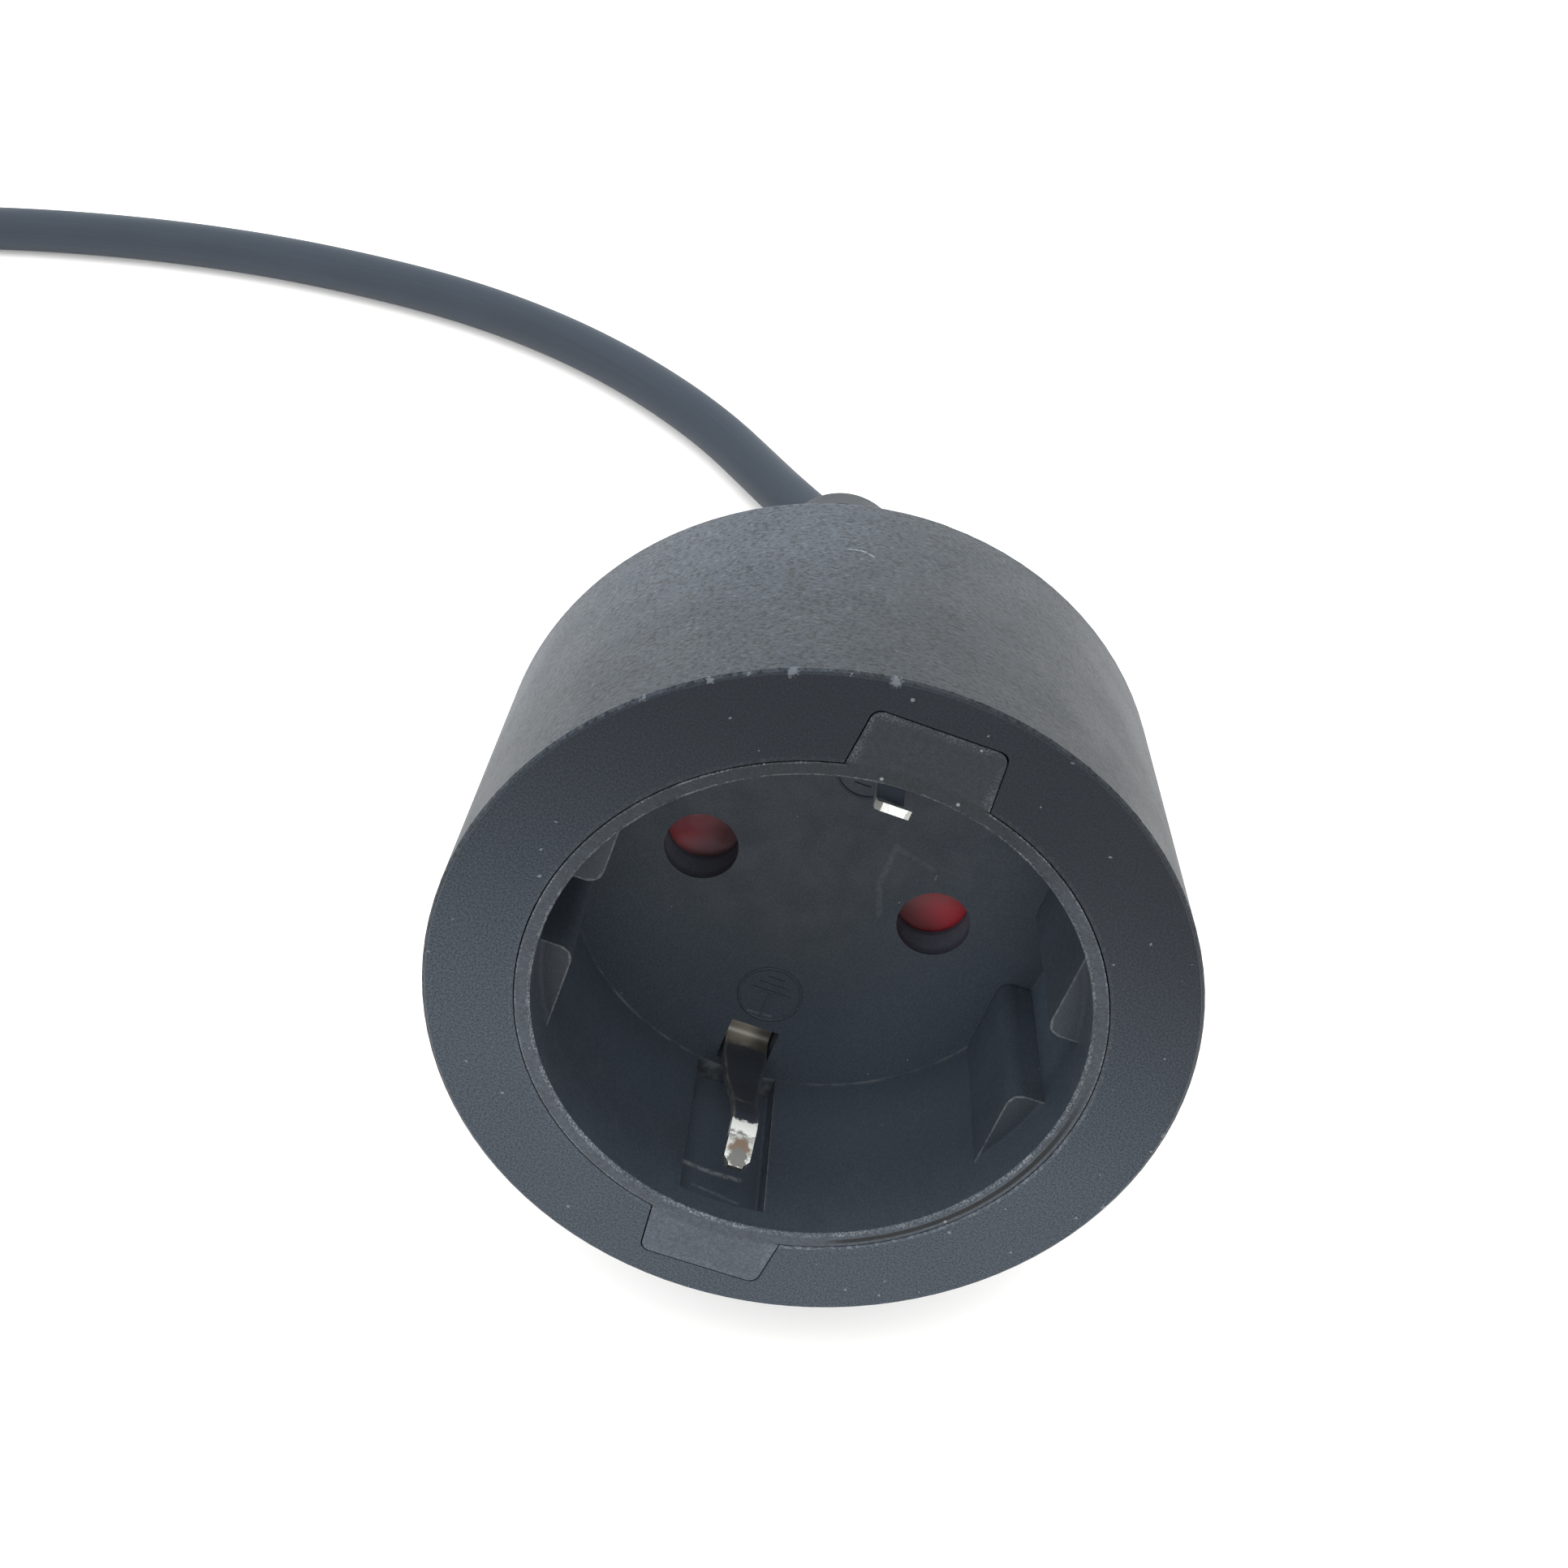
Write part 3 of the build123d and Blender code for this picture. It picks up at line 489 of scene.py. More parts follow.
class Bench(Wiring):
    """A material in the making: its Principled shader and the nodes that feed it."""

    def __init__(self, name):
        self.material = bpy.data.materials.new(name)
        self.material.use_nodes = True
        super().__init__(self.material.node_tree)
        self.shader = self.tree.nodes["Principled BSDF"]

    def shade(self, **inputs):
        """Sets or wires the shader's own sockets; underscores stand for spaces."""
        for name, value in inputs.items():
            self.feed(self.shader.inputs[name.replace("_", " ")], value)
        return self.material

    def place(self):
        """Place on the piece, in metres."""
        return self.add("ShaderNodeTexCoord").outputs["Object"]

    def both(self, *shares):
        """Product of several shares."""
        product = shares[0]
        for share in shares[1:]:
            product = self.math("MULTIPLY", product, share)
        return product

    def either(self, *shares):
        """Largest of several shares."""
        largest = shares[0]
        for share in shares[1:]:
            largest = self.math("MAXIMUM", largest, share)
        return largest

    def switch(self, share, off, on):
        """Value that goes from one to another with a share."""
        return self.ramp(share, 0.0, 1.0, off, on)

    def gain(self, share, factor):
        """Factor that goes from 1 to another with a share."""
        return self.switch(share, 1.0, factor)

    def noise(self, place, scale, detail=2.0, rough=0.5):
        inputs = {"Vector": place, "Scale": scale, "Detail": detail, "Roughness": rough}
        return self.add("ShaderNodeTexNoise", inputs).outputs["Fac"]

    def vary(self, pattern, low, high):
        """Value that follows a pattern between two limits."""
        return self.ramp(pattern, *PATTERN_SPREAD, low, high)

    def strayed(self, place, reach):
        """Place that strays by up to a reach, in a fine pattern that tears the edges of shapes."""
        pattern = self.add("ShaderNodeTexNoise", {"Vector": place, "Scale": STRAY_SCALE, "Detail": 1.0})
        inputs = {0: reach, 4: place, 5: pattern.outputs["Color"]}
        return self.add("ShaderNodeMix", inputs, data_type="VECTOR").outputs[1]

    def blend(self, share, first, second):
        """Colour between two colours."""
        def full(value):
            return value if isinstance(value, bpy.types.NodeSocket) else (*value, 1.0)
        node = self.add("ShaderNodeMix", {0: share, 6: full(first), 7: full(second)}, data_type="RGBA")
        return node.outputs[2]

    def scaled(self, colour, factor):
        """Colour made darker or lighter by a factor."""
        node = self.add("ShaderNodeVectorMath", {0: colour, "Scale": factor}, operation="SCALE")
        return node.outputs["Vector"]

    def bump(self, height, distance, strength=1.0):
        node = self.add("ShaderNodeBump", {"Height": height, "Distance": distance, "Strength": strength})
        return node.outputs["Normal"]

    def near(self, place, spot, reach):
        """Share that fades from 1 at a spot to 0 at its reach."""
        return self.ramp(self.vector("DISTANCE", place, spot), reach, reach * 0.5)

    def line(self, place, points, width):
        """Share that is 1 on a line through points and fades to 0 at its width."""
        shares = []
        for start, end in zip(points, points[1:]):
            run = Vector(end) - Vector(start)
            offset = self.vector("SUBTRACT", place, start)
            along = self.vector("DOT_PRODUCT", offset, run / run.length_squared)
            clamped = self.math("ADD", along, 0.0, clamp=True)
            nearest = self.scaled(run, clamped)
            shares.append(self.ramp(self.vector("DISTANCE", offset, nearest), width, width * 0.3))
        return self.either(*shares)

    def scuffs(self, place, rows, pattern):
        """Scuffs from rows of width, strength and points, broken up by a fine pattern."""
        broken = self.ramp(pattern, 0.35, 0.60, 0.25, 1.0)
        lines = [self.both(self.line(place, points, width), strength) for width, strength, points in rows]
        return self.both(self.either(*lines), broken)

    def specks(self, place, scale, size, share, dimensions="3D"):
        """Round specks: a share of a pattern's cells holds one, of up to a size in cells."""
        inputs = {"Vector": place, "Scale": scale}
        cells = self.add("ShaderNodeTexVoronoi", inputs, voronoi_dimensions=dimensions)
        pick, spread, _ = self.split(cells.outputs["Color"])
        chosen = self.math("LESS_THAN", pick, share)
        reach = self.switch(spread, size * 0.4, size)
        return self.both(chosen, self.ramp(cells.outputs["Distance"], reach, self.both(reach, 0.5)))


class SocketBench(Bench):
    """A material that follows the socket's own frame, with the places that its finish needs."""

    def __init__(self, name):
        super().__init__(name)
        turned = self.add(
            "ShaderNodeMapping",
            {"Vector": self.place(), "Location": SOCKET.translation, "Rotation": SOCKET.to_euler()},
            vector_type="TEXTURE",
        )
        self.spot = turned.outputs["Vector"]
        self.x, self.y, self.z = self.split(self.spot)

    @cached_property
    def radius(self):
        """Distance from the socket's axis."""
        return self.math("SQRT", self.math("ADD", self.both(self.x, self.x), self.both(self.y, self.y)))

    @cached_property
    def side_x(self):
        """Distance from the plane through both clips."""
        return self.math("ABSOLUTE", self.x)

    @cached_property
    def side_y(self):
        """Distance from the plane through both pin holes."""
        return self.math("ABSOLUTE", self.y)

    @cached_property
    def low_right(self):
        """How far a place lies towards the lower right of the face."""
        return self.math("SUBTRACT", self.x, self.y)

    def lowness(self):
        """Share that grows from the upper tab of the face to the lower one."""
        return self.ramp(self.y, *UPPER_TO_LOWER)

    def level(self, depth):
        """Share that is 1 on what lies at a depth behind the face."""
        return self.ramp(self.math("ABSOLUTE", self.math("ADD", self.z, depth)), *LEVEL_FADE)


def toned(colour, factor):
    """Plain colour made darker or lighter by a factor."""
    return tuple(channel * factor for channel in colour)


def overmould_side_colour(bench, settings, grain):
    """Colour of the spark-eroded sides: bright tips, dark pits, and painted shade that darkens them
    towards the front and the right.
    """
    tips = bench.ramp(grain, 0.56, 0.76, 0.0, 0.28)
    pits = bench.ramp(grain, 0.40, 0.48, 0.15, 1.0)
    # painted shade: the sides grow darker towards the front and towards the right
    side_painted_shade = bench.both(
        bench.ramp(bench.z, *SIDE_SHADE_DEPTH, 1.0, 0.60), bench.ramp(bench.x, *SIDE_SHADE_ACROSS, 1.1, 0.60))
    colour = bench.blend(tips, settings.side_colour, settings.speck_and_highlight_colour)
    return bench.scaled(colour, bench.both(side_painted_shade, pits))


def overmould_face_colour(bench, settings, face):
    """Colour of the smooth face and relief, with painted light that makes the face paler lower down."""
    fine = bench.noise(bench.spot, *FINE_PATTERN)
    # painted light: the face grows paler from the upper tab to the lower one
    colour = bench.blend(bench.both(face, bench.lowness()), settings.face_colour, settings.painted_light_colour)
    return bench.scaled(colour, bench.ramp(fine, 0.30, 0.72, 0.50, 1.60))


def rim_nicks(bench, size):
    """Share of the torn nicks along the front rim, in turn small, middling and large."""
    torn = bench.strayed(bench.spot, NICK_STRAY)
    shares = []
    for i, angle in enumerate(RIM_NICKS):
        turn = radians(angle)
        spot = (BODY_RADIUS * cos(turn), BODY_RADIUS * sin(turn), NICK_HEIGHT)
        shares.append(bench.near(torn, spot, size * NICK_SIZES[i % len(NICK_SIZES)]))
    return bench.either(*shares)


def overmould_wear_and_highlights(bench, settings, face, grain):
    """Share of pale marks: nicks, specks, scuffs, a paler rear edge, and a painted highlight on the lip
    round the ring.
    """
    crumbled = bench.strayed(bench.spot, SPECK_STRAY)
    specks = bench.either(
        bench.specks(crumbled, *SIDE_SPECKS),
        bench.both(face, bench.specks(crumbled, *FACE_SPECKS, "2D")),
    )
    # painted highlight on the lip just outside the ring, strongest at the lower right
    lip = bench.both(
        face,
        bench.ramp(bench.radius, *LIP_RADIUS),
        bench.ramp(grain, 0.45, 0.65, 0.03, 0.30),
        bench.ramp(bench.low_right, *LIP_LOW_RIGHT, 0.15, 1.0),
    )
    rear = bench.both(
        bench.ramp(bench.z, *REAR_DEPTH),
        bench.ramp(bench.radius, *REAR_RADIUS),
        bench.ramp(grain, 0.40, 0.65, 0.04, 0.24),
    )
    nicks = bench.both(rim_nicks(bench, settings.nick_size), 0.28)
    scuffs = bench.scuffs(bench.spot, SIDE_SCUFFS, grain)
    return bench.either(nicks, bench.both(specks, 0.4), lip, rear, scuffs)


def overmould_finish(settings):
    """Soft black moulding: spark-eroded sides with painted shade, smoother face and strain relief with
    painted light on the face, wear on the edges and a painted highlight on the lip round the ring.
    """
    bench = SocketBench("overmould_black")
    face = bench.ramp(bench.z, *OVERMOULD_SKIN)
    smooth = bench.either(face, bench.ramp(bench.z, *RELIEF_START))
    grain = bench.noise(bench.spot, settings.grain_scale, 3.0, 0.65)
    cloud = bench.noise(bench.spot, *OVERMOULD_CLOUD)
    side_colour = overmould_side_colour(bench, settings, grain)
    face_colour = overmould_face_colour(bench, settings, face)
    colour = bench.blend(smooth, side_colour, face_colour)
    pale_marks = overmould_wear_and_highlights(bench, settings, face, grain)
    return bench.shade(
        Base_Color=bench.blend(pale_marks, colour, settings.speck_and_highlight_colour),
        Roughness=bench.vary(cloud, 0.53, 0.60),
        Specular_IOR_Level=0.20,
        Sheen_Weight=0.05,
        Normal=bench.bump(bench.both(grain, bench.gain(smooth, 0.2)), settings.grain_depth, 0.8),
    )


def wall_painted_light(bench, in_channel):
    """Factor of painted light and shade on the walls: paler deep down, in the pin holes' bores, on the
    right and in the clips' channels, darker deepest in the pin holes and on the guides' tops.
    """
    inside = bench.ramp(bench.radius, *INSIDE_RADIUS)
    deep = bench.both(inside, bench.ramp(bench.z, *WALL_DEPTH))
    in_hole = bench.both(inside, bench.ramp(bench.z, *HOLE_DEPTH))
    in_chamber = bench.both(inside, bench.ramp(bench.z, *CHAMBER_DEPTH))
    right = bench.both(bench.ramp(bench.x, *RIGHT_WALL), bench.ramp(bench.z, *RIGHT_WALL_DEPTH))
    channel_side = bench.both(in_channel, bench.ramp(bench.side_x, *CHANNEL_SIDE))
    guide_top = bench.both(bench.level(GUIDE_DEPTH), bench.ramp(bench.radius, *GUIDE_RADIUS))
    return bench.both(
        bench.switch(deep, 1.05, 1.7),
        bench.gain(in_hole, 1.75),
        bench.gain(in_chamber, 0.6),
        bench.gain(right, 1.45),
        bench.gain(in_channel, 1.35),
        bench.gain(channel_side, 1.35),
        bench.gain(guide_top, bench.ramp(bench.y, *GUIDE_HALVES, 0.62, 0.80)),
    )


def recess_colour(bench, settings, at_floor, fine):
    """Colour of the recess: dusty grains on the walls and floor under painted light and shade, paler on
    the right half, dark where the clips' channels meet the floor.
    """
    in_channel = bench.both(
        bench.ramp(bench.side_x, *CHANNEL_WIDTH), bench.ramp(bench.radius, *CHANNEL_MOUTH))
    grains = bench.ramp(fine, 0.35, 0.70, 0.0, 0.07)
    colour = bench.blend(grains, settings.wall_colour, settings.dust_and_painted_light_colour)
    colour = bench.blend(bench.both(in_channel, at_floor, 0.85), colour, settings.ring_colour)
    # painted light: the recess floor grows paler towards its rim
    floor_painted_light = bench.ramp(bench.radius, *FLOOR_RADIUS, 1.0, 1.3)
    # painted light and shade only, on the walls and on the floor
    dust_and_painted_light = bench.switch(at_floor, wall_painted_light(bench, in_channel), floor_painted_light)
    # painted light on the right half of the recess
    return bench.scaled(colour, bench.both(dust_and_painted_light, bench.ramp(bench.x, *RIGHT_HALF, 1.0, 1.25)))


def ring_groove_shade(bench, low_right):
    """Share of the painted shade of a groove in the ring, at its lower right and clear of the tabs."""
    return bench.both(
        low_right,
        bench.ramp(bench.x, *GROOVE_RIGHT),
        bench.ramp(bench.radius, *GROOVE_INSIDE),
        bench.ramp(bench.radius, *GROOVE_OUTSIDE),
        bench.ramp(bench.math("SUBTRACT", bench.side_x, TAB_HALF), *TAB_CLEARANCE),
    )


def ring_colour(bench, settings, tab, low_right, patterns):
    """Colour of the ring and tabs: mottled and dusty, with painted light that makes them paler low down
    and on the right, and painted shade of a groove at the lower right.
    """
    cloud, speckle, fine = patterns
    # painted light: the ring and tabs grow paler low down and towards the right
    painted_light_share = bench.either(bench.lowness(), bench.ramp(bench.x, *RING_RIGHT, 0.0, 0.7))
    colour = bench.blend(painted_light_share, settings.ring_colour, settings.painted_light_colour)
    mottled = bench.both(
        bench.ramp(cloud, 0.35, 0.65, 0.9, 1.1),
        bench.vary(speckle, 0.8, 1.2),
        bench.vary(fine, 0.75, 1.25),
    )
    colour = bench.scaled(colour, mottled)
    # painted shade of a groove along the ring's lower right
    colour = bench.scaled(colour, bench.gain(ring_groove_shade(bench, low_right), 0.10))
    return bench.scaled(colour, bench.gain(tab, 1.25))


def insert_edges(bench, face, tab, low_right):
    """Share of pale edges: the recess's mouth, with wear and a painted highlight along its chamfer, the
    ring's rim away from its lower right, and the tabs' outlines.
    """
    # wear and a painted highlight along the chamfer at the recess's mouth
    mouth = bench.both(bench.ramp(bench.radius, *MOUTH_RADIUS), bench.ramp(bench.z, *MOUTH_DEPTH))
    tab_side = bench.math("SUBTRACT", TAB_HALF, bench.side_x)
    tab_end = bench.math("SUBTRACT", TAB_REACH, bench.side_y)
    from_edge = bench.math("MINIMUM", tab_side, tab_end)
    tab_edge = bench.both(face, tab, bench.ramp(from_edge, *TAB_EDGE), 0.3)
    rim = bench.both(
        face,
        bench.ramp(bench.radius, *RING_EDGE),
        0.7,
        bench.ramp(tab_side, *TAB_OUTSIDE),
        bench.gain(low_right, 0.0),
    )
    return bench.either(mouth, rim, tab_edge)


def insert_finish(settings):
    """Hard satin plastic: dusty recess under painted light and shade, a mouth with wear and a painted
    highlight, mottled ring and tabs with painted light and painted groove shade, specks and scuffs.
    """
    bench = SocketBench("insert_black")
    cloud = bench.noise(bench.spot, *INSERT_CLOUD)
    speckle = bench.noise(bench.spot, *INSERT_SPECKLE)
    fine = bench.noise(bench.spot, *FINE_PATTERN)
    face = bench.ramp(bench.z, *INSERT_SKIN)
    tab = bench.ramp(bench.radius, *TAB_RADIUS)
    low_right = bench.ramp(bench.low_right, *RING_LOW_RIGHT)
    at_floor = bench.level(RECESS_DEPTH)
    inner_colour = recess_colour(bench, settings, at_floor, fine)
    outer_colour = ring_colour(bench, settings, tab, low_right, (cloud, speckle, fine))
    colour = bench.blend(face, inner_colour, outer_colour)
    patchy = bench.both(bench.ramp(cloud, 0.40, 0.62, 0.3, 1.0), bench.ramp(fine, 0.42, 0.66, 0.05, 0.90))
    edges = bench.both(insert_edges(bench, face, tab, low_right), patchy)
    corner = bench.both(
        at_floor, bench.ramp(bench.radius, *CORNER_RADIUS), bench.ramp(cloud, 0.40, 0.60, 0.10, 0.45))
    specks = bench.either(
        bench.specks(bench.spot, *RECESS_SPECKS),
        bench.both(face, bench.specks(bench.spot, *RING_SPECKS, "2D")),
    )
    mirrored = bench.combine(bench.side_x, bench.side_y, bench.z)
    guides = bench.scuffs(mirrored, GUIDE_EDGES, speckle)
    scuffs = bench.scuffs(bench.spot, RECESS_SCUFFS, speckle)
    pale_marks = bench.either(edges, corner, bench.both(specks, 0.9), guides, scuffs)
    return bench.shade(
        Base_Color=bench.blend(pale_marks, colour, settings.dust_and_painted_light_colour),
        Roughness=bench.vary(cloud, 0.42, 0.60),
        Specular_IOR_Level=0.24,
        Normal=bench.bump(fine, 0.00003, 0.6),
    )


def shutter_finish(settings):
    """Satin red moulding under painted light and shade in each hole, with dusty grey and painted haze,
    most of them behind the left hole.
    """
    bench = SocketBench("shutter_red")
    cloud = bench.noise(bench.spot, *SHUTTER_CLOUD)
    left = bench.ramp(bench.x, *MIDDLE)
    # painted light and shade: each half goes from a shaded copy of its red to its full red along its own
    # direction
    painted_lit_left = bench.ramp(bench.vector("DOT_PRODUCT", bench.spot, LEFT_LIT_DIRECTION), *LEFT_LIT)
    painted_lit_right = bench.ramp(bench.vector("DOT_PRODUCT", bench.spot, RIGHT_LIT_DIRECTION), *RIGHT_LIT)
    painted_lit = bench.both(bench.switch(left, painted_lit_right, painted_lit_left), bench.ramp(cloud, 0.2, 0.6, 0.8, 1.0))
    colour = bench.blend(painted_lit, toned(settings.shutter_colour, 0.3), settings.shutter_colour)
    # dusty grey with painted haze, strong on the left and faint on the right
    dust_and_painted_light = bench.switch(left, 0.05, bench.ramp(cloud, 0.2, 0.7, 0.26, 0.42))
    colour = bench.blend(dust_and_painted_light, colour, settings.dust_and_painted_light_colour)
    across = bench.math("SUBTRACT", bench.x, bench.switch(left, PIN_X, -PIN_X))
    up = bench.vector("DOT_PRODUCT", bench.combine(across, bench.y), SHUTTER_UP)
    # painted light: each half grows paler towards the bottom of its hole
    painted_paler_left = bench.ramp(up, *LEFT_PAINTED_PALER, 0.62, 2.3)
    painted_paler_right = bench.ramp(up, *RIGHT_PAINTED_PALER, 0.75, 1.25)
    return bench.shade(
        Base_Color=bench.scaled(colour, bench.switch(left, painted_paler_right, painted_paler_left)),
        Roughness=bench.vary(cloud, 0.36, 0.48),
        Normal=bench.bump(bench.noise(bench.spot, SHUTTER_GRAIN), 0.00002, 0.5),
    )


def clip_spot(bench, flat, stray, spot, reach):
    """Share of a spot with a blotchy edge on the front of a clip."""
    distance = bench.math("ADD", bench.vector("DISTANCE", flat, spot), stray)
    return bench.ramp(distance, *reach)


def clip_edge_highlights(bench, flat, blotch):
    """Share of paler metal: painted highlights on the strap's edges and crease, most on the left, and a
    few blotches.
    """
    widening = bench.math("ADD", bench.z, SHOULDER_START)
    widening = bench.math("DIVIDE", widening, SHOULDER_START - SHOULDER_END)
    widening = bench.math("ADD", widening, 0.0, clamp=True)
    half = bench.math("ADD", bench.both(widening, STRAP_HALF - FINGER_HALF), FINGER_HALF)
    from_edge = bench.math("SUBTRACT", half, bench.side_x)
    # painted highlights along the strap's edges and crease, strongest on the left
    pale_marks = bench.both(
        bench.either(bench.ramp(from_edge, *STRAP_EDGE), bench.line(flat, STRAP_CREASE, CREASE_WIDTH)),
        bench.ramp(bench.x, *STRAP_LEFT, 0.35, 1.0),
        bench.ramp(blotch, 0.35, 0.6, 0.3, 1.0),
    )
    return bench.either(pale_marks, bench.ramp(blotch, 0.55, 0.75, 0.0, 0.15))


def clip_finish(settings):
    """Plated earth strap: painted highlights on the tips, grey and brown where plugs rub, tarnish and
    painted shade deeper down, and painted light on the upper clip and the root.
    """
    bench = SocketBench("clip_nickel")
    lower = bench.ramp(bench.y, *MIDDLE)
    blotch = bench.noise(bench.spot, *CLIP_BLOTCH)
    stray = bench.vary(blotch, -BLOTCH_STRAY, BLOTCH_STRAY)
    depth = bench.math("ADD", bench.z, stray)
    flat = bench.combine(bench.x, 0.0, bench.z)
    grey = clip_spot(bench, flat, stray, GREY_SPOT, GREY_REACH)
    brown = clip_spot(bench, flat, stray, BROWN_SPOT, BROWN_REACH)
    # painted highlight: pale, less metallic nickel on the upper clip and from a band across the lower
    # clip's tip
    matt_and_highlight = bench.either(bench.ramp(depth, *MATT_HIGHLIGHT_DEPTH), bench.gain(lower, 0.0))
    root = bench.ramp(depth, *ROOT_DEPTH)
    # tarnish and painted shade: deep in the recess the clips turn dark and not metallic
    tarnish_and_shade = bench.both(bench.ramp(depth, *TARNISH_SHADE_DEPTH), bench.ramp(depth, *TARNISH_SHADE_END))
    bright = toned(settings.nickel_colour, 1.6)
    dull = toned(settings.nickel_colour, 0.27)
    # painted light: the root's bend is paler on the left and darker on the right
    root_colour = bench.scaled(settings.root_colour, bench.ramp(bench.x, *ROOT_LEFT, 0.55, 1.6))
    colour = bench.blend(bench.both(brown, lower, 0.9), settings.nickel_colour, settings.stain_colour)
    colour = bench.blend(bench.both(grey, lower), colour, dull)
    colour = bench.blend(matt_and_highlight, colour, bright)
    colour = bench.blend(root, colour, root_colour)
    # painted light: the upper clip's dark part is 6.5 times paler than the lower one's
    dark = bench.scaled(settings.tarnish_and_shade_colour, bench.switch(lower, 6.5, 1.0))
    dark = bench.blend(bench.both(clip_edge_highlights(bench, flat, blotch), 0.6), dark, dull)
    used = bench.either(grey, brown, tarnish_and_shade, root)
    return bench.shade(
        Base_Color=bench.blend(tarnish_and_shade, colour, dark),
        Metallic=bench.both(bench.gain(tarnish_and_shade, 0.0), bench.gain(matt_and_highlight, 0.3)),
        Roughness=bench.either(bench.vary(blotch, 0.16, 0.28), bench.both(used, 0.42)),
        Normal=bench.bump(blotch, 0.00002, 0.4),
    )


def metal_finish(name, colour, roughness):
    """Bare sheet or wire with an even dull shine."""
    bench = Bench(name)
    cloud = bench.noise(bench.place(), *METAL_CLOUD)
    return bench.shade(
        Base_Color=bench.blend(bench.ramp(cloud, 0.35, 0.7), colour, toned(colour, 0.72)),
        Metallic=1.0,
        Roughness=bench.vary(cloud, *roughness),
        Normal=bench.bump(cloud, 0.00001, 0.4),
    )


def core_finish(name, colour, stripe=None):
    """Insulation of a core, with a stripe along it where it has one."""
    bench = Bench(name)
    place = bench.place()
    cloud = bench.noise(place, *CORE_CLOUD)
    skin = bench.blend(cloud, toned(colour, 0.8), colour)
    if stripe is not None:
        bands = bench.add("ShaderNodeTexWave", {"Vector": place, "Scale": CORE_BANDS, "Distortion": 0.4})
        skin = bench.blend(bench.ramp(bands.outputs["Fac"], 0.45, 0.55), skin, stripe)
    return bench.shade(Base_Color=skin, Roughness=bench.vary(cloud, 0.40, 0.52))


def sheath_finish(settings):
    """Satin sheath with faint streaks along it, in pale and dark clouds, and painted light that makes it
    paler towards the table.
    """
    bench = Bench("sheath_black")
    uv = bench.add("ShaderNodeTexCoord").outputs["UV"]
    stretched = bench.add("ShaderNodeMapping", {"Vector": uv, "Scale": STREAK_STRETCH}).outputs["Vector"]
    streaks = bench.noise(stretched, 1.0, 3.0)
    place = bench.place()
    cloud = bench.noise(place, *SHEATH_CLOUD)
    colour = bench.blend(bench.both(cloud, streaks), settings.colour, toned(settings.colour, 1.7))
    # painted light: the lead's lower side is paler, as if lit by the table
    _, _, height = bench.split(place)
    return bench.shade(
        Base_Color=bench.scaled(colour, bench.ramp(height, *LEAD_HEIGHT, 1.0, 1.45)),
        Roughness=bench.vary(cloud, 0.46, 0.58),
        Specular_IOR_Level=0.13,
        Normal=bench.bump(bench.noise(place, *SHEATH_GRAIN), 0.00002, 0.5),
    )


def dress(material, *nodes):
    """Gives nodes of the frame their finish."""
    for node in nodes:
        slots = frame["nodes"][node].data.materials
        slots.clear()
        slots.append(material)


def link(piece):
    bpy.context.scene.collection.objects.link(piece)
    return piece


class COUPLER_OT_mouldings(bpy.types.Operator):
    """Finish the soft mouldings of the coupler and the plug"""

    bl_idname = "coupler.mouldings"
    bl_label = "Mouldings"

    def execute(self, context):
        dress(overmould_finish(context.scene.coupler.moulding), "coupler_housing", "plug_housing")
        return {"FINISHED"}


class COUPLER_OT_inserts(bpy.types.Operator):
    """Finish the socket's insert, the carrier behind it and the plug's pin plate"""

    bl_idname = "coupler.inserts"
    bl_label = "Inserts"

    def execute(self, context):
        finish = insert_finish(context.scene.coupler.socket)
        dress(finish, "socket_insert", "contact_carrier", "plug_insert")
        return {"FINISHED"}


